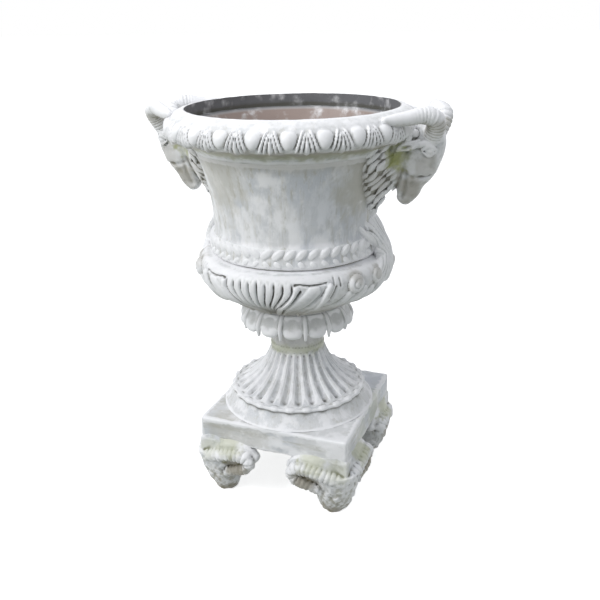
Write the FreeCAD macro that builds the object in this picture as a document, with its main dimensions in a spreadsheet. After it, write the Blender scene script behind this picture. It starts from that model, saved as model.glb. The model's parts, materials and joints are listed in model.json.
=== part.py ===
import FreeCAD, Part
import math
import os
import Sketcher

# A footed garden urn of painted cast stone, about 0.88 m high, on a square plinth.
# The bowl's axis is Z, the ground is Z 0, the handles lie along X, one plinth face looks to -Y.
# The castings stand on thin mortar beds, and a threaded rod ties them together.

document = FreeCAD.newDocument("urn_planter")
sheet = document.addObject("Spreadsheet::Sheet", "Sizes")
rows = []


class Length:
    """A number together with the sheet expression that it comes from."""

    def __init__(self, value, text=None):
        self.value = float(value)
        self.text = text if text else "%.10g" % value

    def joined(self, other, sign, value):
        return Length(value, "(%s %s %s)" % (self.text, sign, other.text))

    def __add__(self, other):
        other = as_length(other)
        return self.joined(other, "+", self.value + other.value)

    def __sub__(self, other):
        other = as_length(other)
        return self.joined(other, "-", self.value - other.value)

    def __mul__(self, other):
        other = as_length(other)
        return self.joined(other, "*", self.value * other.value)

    def __truediv__(self, other):
        other = as_length(other)
        return self.joined(other, "/", self.value / other.value)


def as_length(number):
    return number if isinstance(number, Length) else Length(number)


def size(name, value, note=""):
    """Write one driving dimension to the sheet and return it."""
    rows.append(name)
    row = len(rows)
    sheet.set("A%d" % row, name)
    sheet.set("B%d" % row, str(value))
    sheet.setAlias("B%d" % row, name)
    sheet.set("C%d" % row, note)
    return Length(value, "Sizes." + name)


def station_sizes(prefix, columns, stations):
    """Sizes of the sections of one sculpted form, as {section: {column: size}}."""
    table = {}
    for name, *values in stations:
        table[name] = {column: size("%s_%s_%s" % (prefix, name, column), value)
                       for column, value in zip(columns, values)}
    return table


# ---- driving dimensions, millimetres ----
bed = size("bed", 3, "mortar bed between two castings")
bed_setback = size("bed_setback", 4, "mortar raked back from the edge")
clearance = size("clearance", 0.3, "gap round a rod or a pin")

foot_height = size("foot_height", 130, "ground to the bed under the plinth")
plinth_side = size("plinth_side", 344)
plinth_thickness = size("plinth_thickness", 58)
plinth_round = size("plinth_round", 4, "worn edges")

disc_radius = size("disc_radius", 170, "plain disc under the fluted foot")
disc_thickness = size("disc_thickness", 9)
slope_rise = size("slope_rise", 15, "plain slope above the disc")
scallop_radius = size("scallop_radius", 150, "thin edge below the flutes")
scallop_thickness = size("scallop_thickness", 9)
flare_radius = size("flare_radius", 144)
flare_height = size("flare_height", 90)
neck_radius = size("neck_radius", 60)
ring_height = size("ring_height", 14, "bead on the neck")
neck_height = size("neck_height", 49, "from that bead to the petals")
stem_bore = size("stem_bore", 24, "radius of the drain bore")
flute_count = size("flute_count", 26)
flute_foot_radius = size("flute_foot_radius", 13, "half width of a flute at its foot")

collar_height = size("collar_height", 51)
collar_root_radius = size("collar_root_radius", 64)
collar_top_radius = size("collar_top_radius", 98)
chamber_radius = size("chamber_radius", 72, "hollow below the drain holes")
chamber_depth = size("chamber_depth", 34)
petal_count = size("petal_count", 14)
petal_turn = size("petal_turn", 3.8, "degrees from the handles to the first petal")
petal_reach = size("petal_reach", 5, "petal centres beyond the collar's top edge")
petal_drop = size("petal_drop", 26, "centres below the collar's top")
petal_length = size("petal_length", 28, "half length")
petal_width = size("petal_width", 23, "half width")
petal_swell = size("petal_swell", 16, "half thickness")
petal_lean = size("petal_lean", 28, "degrees, lips outward")

bowl_foot_radius = size("bowl_foot_radius", 110)
bowl_height = size("bowl_height", 121, "lower bowl, bed to joint")
bowl_flank_radius = size("bowl_flank_radius", 185)
bowl_flank_height = size("bowl_flank_height", 48)
bowl_radius = size("bowl_radius", 208, "widest part of the lower bowl")
bowl_radius_height = size("bowl_radius_height", 97)
bowl_shoulder_radius = size("bowl_shoulder_radius", 196)
bowl_shoulder_fall = size("bowl_shoulder_fall", 4)
joint_radius = size("joint_radius", 178, "groove where the two bowl castings meet")
wall = size("wall", 23, "wall at that joint")
floor_thickness = size("floor_thickness", 23)
bowl_floor_radius = size("bowl_floor_radius", 96)
bowl_bore = size("bowl_bore", 166, "widest inside radius")
bowl_bore_height = size("bowl_bore_height", 83)
drain_radius = size("drain_radius", 11)
drain_ring = size("drain_ring", 50)
drain_count = size("drain_count", 4)

bell_height = size("bell_height", 297, "upper casting, joint to rim")
band_height = size("band_height", 47, "laurel band")
band_low_radius = size("band_low_radius", 183)
band_top_radius = size("band_top_radius", 176)
band_edge = size("band_edge", 6, "rounded edges of the band")
bell_radius = size("bell_radius", 171, "waist of the bell")
throat_radius = size("throat_radius", 203, "bell under the rim")
rim_depth = size("rim_depth", 83, "throat below the rim")
rim_bead_radius = size("rim_bead_radius", 252)
rim_bead_drop = size("rim_bead_drop", 56)
rim_radius = size("rim_radius", 261, "ground of the egg moulding")
rim_radius_drop = size("rim_radius_drop", 42)
rim_lip_radius = size("rim_lip_radius", 247)
rim_lip_drop = size("rim_lip_drop", 12)
rim_mouth = size("rim_mouth", 220, "inner edge of the rim")
rim_band = size("rim_band", 27, "upright band inside the mouth")
ledge = size("ledge", 14, "step below that band")
throat_bore = size("throat_bore", 184, "inside of the bell at the throat")
waist_bore = size("waist_bore", 152)
waist_height = size("waist_height", 80, "narrowest inside, above the joint")
egg_count = size("egg_count", 26)
egg_ring = size("egg_ring", 249, "centres of the eggs")
egg_drop = size("egg_drop", 29, "egg centres below the rim")
egg_height = size("egg_height", 19, "half height")
egg_width = size("egg_width", 24, "half width")
egg_swell = size("egg_swell", 18, "half thickness")
egg_lean = size("egg_lean", 25, "degrees, tops inward")

rod_radius = size("rod_radius", 8, "threaded tie rod M16")
rod_tail = size("rod_tail", 5, "rod beyond each nut")
nut_height = size("nut_height", 13)
nut_across = size("nut_across", 24)
washer_radius = size("washer_radius", 30)
washer_thickness = size("washer_thickness", 5)
bar_length = size("bar_length", 110, "flat bar under the plinth")
bar_width = size("bar_width", 30)
pin_radius = size("pin_radius", 5, "steel dowels")
pin_grip = size("pin_grip", 30, "foot dowel in each casting")
head_pin_drop = size("head_pin_drop", 98, "head dowels below the rim")
head_pin_spread = size("head_pin_spread", 18)
head_pin_start = size("head_pin_start", 18, "dowel end inside the throat radius")
head_pin_length = size("head_pin_length", 46)
horn_pin_radius = size("horn_pin_radius", 4)
horn_pin_grip = size("horn_pin_grip", 14, "horn dowel in each casting")

# Sections of the sculpted forms. "out" is measured from the bell's throat radius,
# "drop" from the rim, "side" from the plane of the handles.
head = station_sizes("head", ("out", "drop", "depth", "width"), (
    ("crown", 78, 29, 19, 18),
    ("poll", 80, 48, 31, 30),
    ("brow", 78, 72, 37, 36),
    ("cheek", 67, 106, 36, 33),
    ("bridge", 53, 136, 26, 24),
    ("muzzle", 41, 165, 19.5, 19),
    ("lip", 34, 183, 13, 12)))
head_tilt = size("head_tilt", 24.6, "degrees, muzzle drawn in towards the bell")
throat_sections = station_sizes("neck", ("out", "drop", "width", "depth"), (
    ("root", -22, 166, 24, 18),
    ("throat", -4, 128, 38, 38),
    ("crest", 12, 98, 41, 40),
    ("top", 18, 70, 36, 35)))
mane = station_sizes("mane", ("out", "drop", "width", "depth"), (
    ("tail", -31, 216, 14, 8),
    ("low", -29, 190, 33, 16),
    ("middle", -26, 160, 55, 26),
    ("wide", -22, 128, 74, 34),
    ("high", -18, 98, 84, 40),
    ("top", -14, 66, 86, 43)))
ear_out = size("ear_out", 58)
ear_drop = size("ear_drop", 69)
ear_side = size("ear_side", 41)
ear_length = size("ear_length", 20, "half length")
ear_width = size("ear_width", 9)
ear_thickness = size("ear_thickness", 6)
ear_swing = size("ear_swing", 22, "degrees, tips drawn back towards the bell")
horn = station_sizes("horn", ("out", "side", "drop", "radius"), (
    ("root", 91, 20, 52, 18),
    ("rise", 100, 33, 28, 18),
    ("top", 98, 46, 12, 17),
    ("bend", 80, 60, 7, 15.5),
    ("back", 59, 76, 10, 13.5),
    ("rest", 38, 94, 11, 10.5),
    ("tip", 21, 112, 10, 6.5)))
leaf = station_sizes("leaf", ("radius", "rise", "width", "depth"), (
    ("root", 196, -50, 22, 12),
    ("low", 199, -24, 45, 15),
    ("waist", 195, 4, 28, 20),
    ("middle", 185, 30, 40, 19),
    ("high", 169, 52, 54, 18),
    ("tip", 166, 74, 20, 10)))
foot_face = station_sizes("foot", ("inset", "height", "depth", "width"), (
    ("sole", 56, 0, 23, 21),
    ("muzzle", 53, 22, 28, 25),
    ("nose", 48, 52, 37, 34),
    ("brow", 44, 84, 47, 41),
    ("crown", 45, 114, 53, 45)))
foot_horn = station_sizes("scroll", ("along", "proud", "height", "radius"), (
    ("root", 24, 8, 104, 14),
    ("arch", 48, 13, 116, 16),
    ("top", 76, 14, 119, 16),
    ("turn", 103, 14, 110, 15),
    ("end", 116, 13, 91, 14),
    ("curl", 104, 12, 76, 11),
    ("tip", 86, 11, 74, 7)))
foot_block_side = size("foot_block_side", 104, "square block over each foot")
foot_block_height = size("foot_block_height", 34)
foot_block_setback = size("foot_block_setback", 5)

# ---- heights above the ground ----
zero = Length(0)
plinth_bottom = foot_height + bed
plinth_top = plinth_bottom + plinth_thickness
stem_bottom = plinth_top + bed
slope_bottom = stem_bottom + disc_thickness
scallop_bottom = slope_bottom + slope_rise
flare_bottom = scallop_bottom + scallop_thickness
flare_top = flare_bottom + flare_height
ring_top = flare_top + ring_height
stem_top = ring_top + neck_height
collar_bottom = stem_top + bed
collar_top = collar_bottom + collar_height
bowl_bottom = collar_top + bed
bowl_floor = bowl_bottom + floor_thickness
bowl_top = bowl_bottom + bowl_height
bell_bottom = bowl_top + bed
band_top = bell_bottom + band_height
rim_top = bell_bottom + bell_height
throat = rim_top - rim_depth
half_plinth = plinth_side / 2
rod_hole = rod_radius + clearance
pin_hole = pin_radius + clearance

up = FreeCAD.Vector(0, 0, 1)


# ---- helpers ----
def bind(item, **sizes):
    """Tie properties of an object to the sheet."""
    for key, length in sizes.items():
        item.setExpression(key, as_length(length).text)
    return item


def place(item, x=zero, y=zero, z=zero, rotation=None):
    """Put an object at a place that follows the sheet."""
    spots = {"x": as_length(x), "y": as_length(y), "z": as_length(z)}
    start = FreeCAD.Vector(*[spots[letter].value for letter in "xyz"])
    item.Placement = FreeCAD.Placement(start, rotation or FreeCAD.Rotation())
    for letter, length in spots.items():
        item.setExpression("Placement.Base." + letter, length.text)
    return item


def origin_plane(body, role):
    return [feature for feature in body.Origin.OriginFeatures if feature.Role == role][0]


def fix_point(sketch, piece, end, x, z):
    """Hold one end of a sketch line at its distances from the origin."""
    for kind, length, axis_line in (("DistanceX", x, -2), ("DistanceY", z, -1)):
        if length.value == 0:
            sketch.addConstraint(Sketcher.Constraint("PointOnObject", piece, end, axis_line))
        else:
            row = sketch.addConstraint(Sketcher.Constraint(kind, -1, 1, piece, end, length.value))
            sketch.setExpression("Constraints[%d]" % row, length.text)


def outline_sketch(body, name, outline):
    """Closed outline in the XZ plane. Each corner is (radius, height, bow). The stretch that
    leads to it bows to the left of its way by that share of its chord, or is straight at 0."""
    sketch = body.newObject("Sketcher::SketchObject", name)
    sketch.AttachmentSupport = [(origin_plane(body, "XZ_Plane"), "")]
    sketch.MapMode = "FlatFace"
    ends = []
    for number, (x, z, bow) in enumerate(outline):
        before_x, before_z = outline[number - 1][:2]
        first = FreeCAD.Vector(before_x.value, before_z.value, 0)
        last = FreeCAD.Vector(x.value, z.value, 0)
        if bow == 0:
            sketch.addGeometry(Part.LineSegment(first, last))
            ends.append((1, 2))
            continue
        chord = last - first
        crest = (first + last) * 0.5 + FreeCAD.Vector(-chord.y, chord.x, 0) * bow
        piece = sketch.addGeometry(Part.Arc(first, crest, last))
        forward = sketch.getPoint(piece, 1).distanceToPoint(first) < 0.001
        ends.append((1, 2) if forward else (2, 1))
    for number, (x, z, bow) in enumerate(outline):
        following = (number + 1) % len(outline)
        sketch.addConstraint(Sketcher.Constraint("Coincident", number, ends[number][1],
                                                 following, ends[following][0]))
        fix_point(sketch, number, ends[number][1], x, z)
        if bow:
            before_x, before_z = outline[number - 1][:2]
            share = 1 / (8 * abs(bow)) + abs(bow) / 2
            run, rise = x - before_x, z - before_z
            radius = share * math.hypot(run.value, rise.value)
            row = sketch.addConstraint(Sketcher.Constraint("Radius", number, radius))
            sketch.setExpression("Constraints[%d]" % row,
                                 "%.10g * sqrt(%s^2 + %s^2)" % (share, run.text, rise.text))
    return sketch


def turned(name, outline):
    """Body turned about Z from an outline."""
    body = document.addObject("PartDesign::Body", name)
    sketch = outline_sketch(body, name + "_outline", outline)
    turn = body.newObject("PartDesign::Revolution", name + "_turned")
    turn.Profile = sketch
    turn.ReferenceAxis = (sketch, ["V_Axis"])
    turn.Angle = 360
    sketch.Visibility = False
    body.Tip = turn
    return body


def repeat_round(body, feature, count):
    """Polar pattern of one feature of a body about Z."""
    pattern = body.newObject("PartDesign::PolarPattern", feature.Name + "_ring")
    pattern.Originals = [feature]
    pattern.Axis = (origin_plane(body, "Z_Axis"), [""])
    pattern.Angle = 360
    pattern.Occurrences = int(count.value)
    bind(pattern, Occurrences=count)
    body.Tip = pattern
    return pattern


def ring_bed(name, inner, outer, bottom):
    """Mortar ring between two turned castings, raked back from their edge."""
    edge = outer - bed_setback
    return turned(name, [(inner, bottom, 0), (edge, bottom, 0),
                         (edge, bottom + bed, 0), (inner, bottom + bed, 0)])


def rod(name, radius, length, x=zero, y=zero, z=zero, rotation=None):
    item = bind(document.addObject("Part::Cylinder", name), Radius=radius, Height=length)
    return place(item, x, y, z, rotation)


def cut(name, base, tools):
    """Base without its tools."""
    tool = tools[0]
    if len(tools) > 1:
        tool = document.addObject("Part::MultiFuse", name + "_tools")
        tool.Shapes = tools
    result = document.addObject("Part::Cut", name)
    result.Base = base
    result.Tool = tool
    return result


def joined(name, pieces):
    result = document.addObject("Part::MultiFuse", name)
    result.Shapes = pieces
    return result


def mirrored(name, source, normal):
    result = document.addObject("Part::Mirroring", name)
    result.Source = source
    result.Normal = FreeCAD.Vector(*normal)
    return result


def loft(name, sections):
    result = document.addObject("Part::Loft", name)
    result.Sections = sections
    result.Solid = True
    result.Ruled = False
    return result


def oval(name, major, minor, x, y, z, rotation=None):
    """Elliptical section, its long half along its own X."""
    item = bind(document.addObject("Part::Ellipse", name), MajorRadius=major, MinorRadius=minor)
    return place(item, x, y, z, rotation)


def tapered_tube(name, spots, growth=0):
    """Round bar of changing radius through spots (x, y, z, radius)."""
    points = [FreeCAD.Vector(*[length.value for length in spot[:3]]) for spot in spots]
    sections = []
    for number, (x, y, z, radius) in enumerate(spots):
        along = points[min(number + 1, len(points) - 1)] - points[max(number - 1, 0)]
        item = document.addObject("Part::Circle", "%s_section%d" % (name, number))
        bind(item, Radius=radius + growth)
        sections.append(place(item, x, y, z, FreeCAD.Rotation(up, along)))
    return loft(name, sections)


# ---- turned castings ----
def make_stem():
    body = turned("stem_turned", [
        (stem_bore, stem_bottom, 0), (disc_radius, stem_bottom, 0),
        (disc_radius, slope_bottom, 0), (scallop_radius, scallop_bottom, 0.06),
        (scallop_radius, flare_bottom, -0.2), (flare_radius, flare_bottom, 0),
        (neck_radius, flare_top, 0.14), (neck_radius, ring_top, -0.45),
        (neck_radius, stem_top, 0.03), (stem_bore, stem_top, 0)])
    body.Label = "fluted_stem"
    # Circles across the flare, from its foot to its top, make one flute. Each stands at a share
    # of the flare's run and rise, and leans back by so many degrees as the flare steepens.
    stations = ((1.10, 0.065, 70, 1), (0.41, 0.36, 42, 0.69), (0.09, 0.70, 14, 0.5), (0.03, 0.95, 2, 0.385))
    spots = [(neck_radius + (flare_radius - neck_radius) * run, flare_bottom + flare_height * rise,
              lean, flute_foot_radius * share) for run, rise, lean, share in stations]
    sketches = []
    for number, (x, z, lean, radius) in enumerate(spots):
        sketch = body.newObject("Sketcher::SketchObject", "flute_section%d" % number)
        sketch.AttachmentSupport = [(origin_plane(body, "XY_Plane"), "")]
        sketch.MapMode = "FlatFace"
        turn = FreeCAD.Rotation(FreeCAD.Vector(0, 1, 0), -lean)
        sketch.AttachmentOffset = FreeCAD.Placement(FreeCAD.Vector(x.value, 0, z.value), turn)
        sketch.setExpression("AttachmentOffset.Base.x", x.text)
        sketch.setExpression("AttachmentOffset.Base.z", z.text)
        circle = Part.Circle(FreeCAD.Vector(0, 0, 0), up, radius.value)
        sketch.addGeometry(circle)
        sketch.addConstraint(Sketcher.Constraint("Coincident", 0, 3, -1, 1))
        row = sketch.addConstraint(Sketcher.Constraint("Radius", 0, radius.value))
        sketch.setExpression("Constraints[%d]" % row, radius.text)
        sketches.append(sketch)
    flute = body.newObject("PartDesign::SubtractiveLoft", "flute")
    flute.Profile = sketches[0]
    flute.Sections = sketches[1:]
    repeat_round(body, flute, flute_count)
    return body


def make_collar():
    body = turned("petal_collar", [
        (stem_bore, collar_bottom, 0), (collar_root_radius, collar_bottom, 0),
        (collar_top_radius, collar_top, 0.08), (chamber_radius, collar_top, 0),
        (stem_bore, collar_top - chamber_depth, 0.12)])
    petal = body.newObject("PartDesign::AdditiveEllipsoid", "petal")
    bind(petal, Radius1=petal_length, Radius2=petal_swell, Radius3=petal_width)
    ring = collar_top_radius + petal_reach
    turn = math.radians(petal_turn.value)
    lean = FreeCAD.Rotation(FreeCAD.Vector(0, 1, 0), -petal_lean.value)
    place(petal, ring * math.cos(turn), ring * math.sin(turn), collar_top - petal_drop,
          FreeCAD.Rotation(up, petal_turn.value) * lean)
    repeat_round(body, petal, petal_count)
    return body


def make_lower_bowl():
    body = turned("bowl_lower_turned", [
        (rod_hole, bowl_bottom, 0), (bowl_foot_radius, bowl_bottom, 0),
        (bowl_flank_radius, bowl_bottom + bowl_flank_height, 0.03),
        (bowl_radius, bowl_bottom + bowl_radius_height, -0.14),
        (bowl_shoulder_radius, bowl_top - bowl_shoulder_fall, -0.16),
        (joint_radius, bowl_top, 0), (joint_radius - wall, bowl_top, 0),
        (bowl_bore, bowl_bottom + bowl_bore_height, 0),
        (bowl_floor_radius, bowl_floor, 0.12), (rod_hole, bowl_floor, 0)])
    drain = body.newObject("PartDesign::SubtractiveCylinder", "drain")
    bind(drain, Radius=drain_radius, Height=floor_thickness * 2)
    place(drain, drain_ring, zero, bowl_bottom - floor_thickness / 2)
    repeat_round(body, drain, drain_count)
    return body


bell_outside = [
    (joint_radius, bell_bottom, 0), (band_low_radius, bell_bottom + band_edge, -0.2),
    (band_top_radius, band_top - band_edge, -0.02), (bell_radius, band_top, -0.2),
    (throat_radius, throat, 0.04), (rim_bead_radius, rim_top - rim_bead_drop, 0.1),
    (rim_radius, rim_top - rim_radius_drop, -0.1),
    (rim_lip_radius, rim_top - rim_lip_drop, -0.1), (rim_mouth, rim_top, -0.1)]
bell_inside = [
    (rim_mouth, rim_top - rim_band, 0), (rim_mouth - ledge, rim_top - rim_band, 0),
    (throat_bore, throat, 0), (waist_bore, bell_bottom + waist_height, -0.03),
    (joint_radius - wall, bell_bottom, 0)]


def make_bell():
    body = turned("bell_turned", bell_outside + bell_inside)
    egg = body.newObject("PartDesign::AdditiveEllipsoid", "egg")
    bind(egg, Radius1=egg_height, Radius2=egg_swell, Radius3=egg_width)
    lean = FreeCAD.Rotation(FreeCAD.Vector(0, 1, 0), -egg_lean.value)
    place(egg, egg_ring, zero, rim_top - egg_drop, lean)
    repeat_round(body, egg, egg_count)
    return body


# ---- plinth and feet ----
def make_plinth():
    body = document.addObject("PartDesign::Body", "plinth_body")
    sketch = body.newObject("Sketcher::SketchObject", "plinth_outline")
    sketch.AttachmentSupport = [(origin_plane(body, "XY_Plane"), "")]
    sketch.MapMode = "FlatFace"
    sketch.AttachmentOffset = FreeCAD.Placement(up * plinth_bottom.value, FreeCAD.Rotation())
    sketch.setExpression("AttachmentOffset.Base.z", plinth_bottom.text)
    half = half_plinth.value
    corners = [FreeCAD.Vector(x * half, y * half, 0) for x, y in ((-1, -1), (1, -1), (1, 1), (-1, 1))]
    for number in range(4):
        sketch.addGeometry(Part.LineSegment(corners[number], corners[(number + 1) % 4]))
    for number in range(4):
        sketch.addConstraint(Sketcher.Constraint("Coincident", number, 2, (number + 1) % 4, 1))
        sketch.addConstraint(Sketcher.Constraint("Vertical" if number % 2 else "Horizontal", number))
    sketch.addConstraint(Sketcher.Constraint("Symmetric", 0, 1, 2, 1, -1, 1))
    for kind in ("DistanceX", "DistanceY"):
        line = 0 if kind == "DistanceX" else 1
        row = sketch.addConstraint(Sketcher.Constraint(kind, line, 1, line, 2, plinth_side.value))
        sketch.setExpression("Constraints[%d]" % row, plinth_side.text)
    pad = body.newObject("PartDesign::Pad", "plinth_pad")
    pad.Profile = sketch
    bind(pad, Length=plinth_thickness)
    document.recompute()
    fillet = body.newObject("PartDesign::Fillet", "plinth_worn_edges")
    fillet.Base = (pad, ["Face%d" % (number + 1) for number in range(len(pad.Shape.Faces))])
    bind(fillet, Radius=plinth_round)
    bore = body.newObject("PartDesign::SubtractiveCylinder", "plinth_bore")
    bind(bore, Radius=stem_bore, Height=plinth_thickness * 2)
    place(bore, z=plinth_bottom - plinth_thickness / 2)
    body.Tip = bore
    return body


def make_foot():
    """The front right foot: a small ram's head under the corner, a curled horn on each face."""
    outward = FreeCAD.Rotation(up, -45)
    ovals = []
    for name, part in foot_face.items():
        spot = half_plinth - part["inset"] * math.sqrt(0.5)
        ovals.append(oval("foot_%s" % name, part["depth"], part["width"],
                          spot, zero - spot, part["height"], outward))
    face = loft("foot_head", ovals)
    scrolls = []
    for side in ("front", "flank"):
        spots = []
        for part in foot_horn.values():
            near, far = half_plinth - part["along"], half_plinth + part["proud"]
            x, y = (near, zero - far) if side == "front" else (far, zero - near)
            spots.append((x, y, part["height"], part["radius"]))
        scrolls.append(tapered_tube("foot_scroll_" + side, spots))
    block = bind(document.addObject("Part::Box", "foot_block"), Length=foot_block_side,
                 Width=foot_block_side, Height=foot_block_height)
    place(block, half_plinth - foot_block_setback - foot_block_side,
          foot_block_setback - half_plinth, foot_height - foot_block_height)
    form = joined("foot_form", [face, block] + scrolls)
    space = bind(document.addObject("Part::Box", "plinth_space"), Length=plinth_side + clearance * 2,
                 Width=plinth_side + clearance * 2, Height=plinth_thickness)
    corner = zero - half_plinth - clearance
    place(space, corner, corner, foot_height)
    return cut("foot_front_right", form, [space, foot_pin_at("foot_pin_space", pin_hole)])


def foot_pin_at(name, radius):
    spot = half_plinth - foot_block_setback - foot_block_side / 2
    return rod(name, radius, pin_grip * 2 + bed, spot, zero - spot, foot_height - pin_grip)


def make_foot_bed():
    side = foot_block_side - bed_setback * 2
    start = half_plinth - foot_block_setback - foot_block_side + bed_setback
    block = bind(document.addObject("Part::Box", "foot_bed_block"), Length=side, Width=side, Height=bed)
    place(block, start, zero - start - side, foot_height)
    return cut("foot_bed_front_right", block, [foot_pin_at("foot_bed_pin_space", pin_hole)])


# ---- handles, right-hand side ----
def horn_spots():
    return [(throat_radius + part["out"], part["side"], rim_top - part["drop"], part["radius"])
            for part in horn.values()]


def horn_pin(name, radius):
    """Dowel through the middle of the horn's root."""
    first, second = horn_spots()[:2]
    root = FreeCAD.Vector(*[length.value for length in first[:3]])
    along = (FreeCAD.Vector(*[length.value for length in second[:3]]) - root).normalize()
    pin = bind(document.addObject("Part::Cylinder", name), Radius=radius, Height=horn_pin_grip * 2)
    return place(pin, first[0] - horn_pin_grip * along.x, first[1] - horn_pin_grip * along.y,
                 first[2] - horn_pin_grip * along.z, FreeCAD.Rotation(up, along))


def head_pin(name, side, radius):
    level = FreeCAD.Rotation(FreeCAD.Vector(0, 1, 0), 90)
    return rod(name, radius, head_pin_length, throat_radius - head_pin_start,
               head_pin_spread * side, rim_top - head_pin_drop, level)


def make_head_form():
    lean = FreeCAD.Rotation(FreeCAD.Vector(0, 1, 0), head_tilt.value)
    ovals = [oval("head_" + name, part["depth"], part["width"], throat_radius + part["out"],
                  zero, rim_top - part["drop"], lean) for name, part in head.items()]
    pieces = [loft("head_face", ovals)]
    across = FreeCAD.Rotation(up, 90)
    for label, sections in (("neck", throat_sections), ("mane", mane)):
        ovals = [oval("%s_%s" % (label, name), part["width"], part["depth"], throat_radius + part["out"],
                      zero, rim_top - part["drop"], across) for name, part in sections.items()]
        pieces.append(loft("head_" + label, ovals))
    for side in (-1, 1):
        ear = bind(document.addObject("Part::Ellipsoid", "ear%d" % (side + 2)), Radius1=ear_thickness,
                   Radius2=ear_length, Radius3=ear_width)
        swing = FreeCAD.Rotation(up, -ear_swing.value * side)
        pieces.append(place(ear, throat_radius + ear_out, ear_side * side, rim_top - ear_drop, swing))
    return joined("head_form", pieces)


def make_leaf_form():
    across = FreeCAD.Rotation(up, 90)
    ovals = [oval("leaf_" + name, part["width"], part["depth"], part["radius"],
                  zero, bell_bottom + part["rise"], across) for name, part in leaf.items()]
    return loft("leaf_form", ovals)


stem = make_stem()
collar = make_collar()
bowl_lower = make_lower_bowl()
bell = make_bell()
plinth = make_plinth()

bowl_lower.Label = "bowl_lower"
nodes = [stem, collar, bowl_lower]

nodes.append(ring_bed("stem_bed", stem_bore, disc_radius, plinth_top))
nodes.append(ring_bed("neck_bed", stem_bore, neck_radius, stem_top))
nodes.append(ring_bed("collar_bed", chamber_radius, collar_top_radius, collar_top))
bowl_bed = ring_bed("bowl_bed", joint_radius - wall, joint_radius, bowl_top)
nodes.append(bowl_bed)

# Bell, drilled for the head dowels on both sides.
pins_right = [head_pin("head_pin_right%d" % (side + 2), side, pin_radius) for side in (-1, 1)]
spaces_right = [head_pin("head_pin_space%d" % (side + 2), side, pin_hole) for side in (-1, 1)]
space_pair = joined("head_pin_spaces", spaces_right)
space_pair_left = mirrored("head_pin_spaces_left", space_pair, (1, 0, 0))
bowl_upper = cut("bowl_upper", bell, [space_pair, space_pair_left])
nodes.append(bowl_upper)

# The bell's outer form without its hollow, for what is seated on it.
bell_space = turned("bell_space", bell_outside + [(zero, rim_top, 0), (zero, bell_bottom, 0)])

# Horns, seated on the rim; the heads are socketed for their roots.
horn_solid = tapered_tube("horn_solid", horn_spots())
horn_socket = tapered_tube("horn_socket", horn_spots(), clearance)
horn_pin_back = horn_pin("horn_pin_back", horn_pin_radius)
horn_pin_space = horn_pin("horn_pin_space", horn_pin_radius + clearance)
horn_back = cut("horn_right_back", horn_solid, [bell, horn_pin_space])
horn_front = mirrored("horn_right_front", horn_back, (0, 1, 0))
nodes += [horn_back, horn_front]
nodes += [mirrored("horn_left_back", horn_back, (1, 0, 0)),
          mirrored("horn_left_front", horn_front, (1, 0, 0))]

socket_pair = [horn_socket, mirrored("horn_socket_front", horn_socket, (0, 1, 0))]
pin_space_pair = [horn_pin_space, mirrored("horn_pin_space_front", horn_pin_space, (0, 1, 0))]
head_right = cut("ram_head_right", make_head_form(),
                 [bell, bell_space, space_pair] + socket_pair + pin_space_pair)
nodes += [head_right, mirrored("ram_head_left", head_right, (1, 0, 0))]

leaf_right = cut("handle_leaf_right", make_leaf_form(), [bell, bell_space, bowl_lower, bowl_bed])
nodes += [leaf_right, mirrored("handle_leaf_left", leaf_right, (1, 0, 0))]

# Plinth with its four feet, beds and dowels.
foot = make_foot()
foot_bed = make_foot_bed()
foot_pin = foot_pin_at("foot_pin", pin_radius)
foot_pin_space = foot_pin_at("foot_pin_hole", pin_hole)


def four_corners(item, names):
    """The same piece at the other three corners, by mirroring."""
    left = mirrored(names[0], item, (1, 0, 0))
    return [item, left, mirrored(names[1], item, (0, 1, 0)), mirrored(names[2], left, (0, 1, 0))]


places = ("front_left", "back_right", "back_left")
nodes += four_corners(foot, ["foot_" + spot for spot in places])
nodes += four_corners(foot_bed, ["foot_bed_" + spot for spot in places])
foot_holes = four_corners(foot_pin_space, ["foot_hole_" + spot for spot in places])
nodes.append(cut("plinth_block", plinth, foot_holes))

# Groups of identical dowels.
foot_pins = document.addObject("Part::Compound", "foot_pins")
foot_pins.Links = four_corners(foot_pin, ["foot_pin_" + spot for spot in places])
head_pins = document.addObject("Part::Compound", "head_pins")
head_pins.Links = pins_right + [mirrored("head_pin_left%d" % number, pin, (1, 0, 0))
                                for number, pin in enumerate(pins_right)]
horn_pins = document.addObject("Part::Compound", "horn_pins")
horn_pins.Links = four_corners(horn_pin_back, ["horn_pin_" + spot for spot in places])
nodes += [foot_pins, head_pins, horn_pins]

# Tie rod from a bar under the plinth to a washer on the bowl's floor.
bar_bottom = plinth_bottom - washer_thickness
rod_bottom = bar_bottom - nut_height - rod_tail
rod_length = bowl_floor + washer_thickness + nut_height + rod_tail - rod_bottom
nodes.append(rod("tie_rod", rod_radius, rod_length, z=rod_bottom))
washer_blank = rod("washer_blank", washer_radius, washer_thickness, z=bowl_floor)
washer_space = rod("washer_hole", rod_hole, washer_thickness, z=bowl_floor)
nodes.append(cut("top_washer", washer_blank, [washer_space]))
bar_blank = bind(document.addObject("Part::Box", "bar_blank"), Length=bar_length, Width=bar_width,
                 Height=washer_thickness)
place(bar_blank, zero - bar_length / 2, zero - bar_width / 2, bar_bottom)
nodes.append(cut("bottom_bar", bar_blank, [rod("bar_hole", rod_hole, washer_thickness, z=bar_bottom)]))
for name, bottom in (("top_nut", bowl_floor + washer_thickness), ("bottom_nut", bar_bottom - nut_height)):
    blank = bind(document.addObject("Part::Prism", name + "_blank"), Height=nut_height,
                 Circumradius=nut_across / math.sqrt(3))
    blank.Polygon = 6
    place(blank, z=bottom)
    nodes.append(cut(name, blank, [rod(name + "_hole", rod_hole, nut_height, z=bottom)]))

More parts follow.
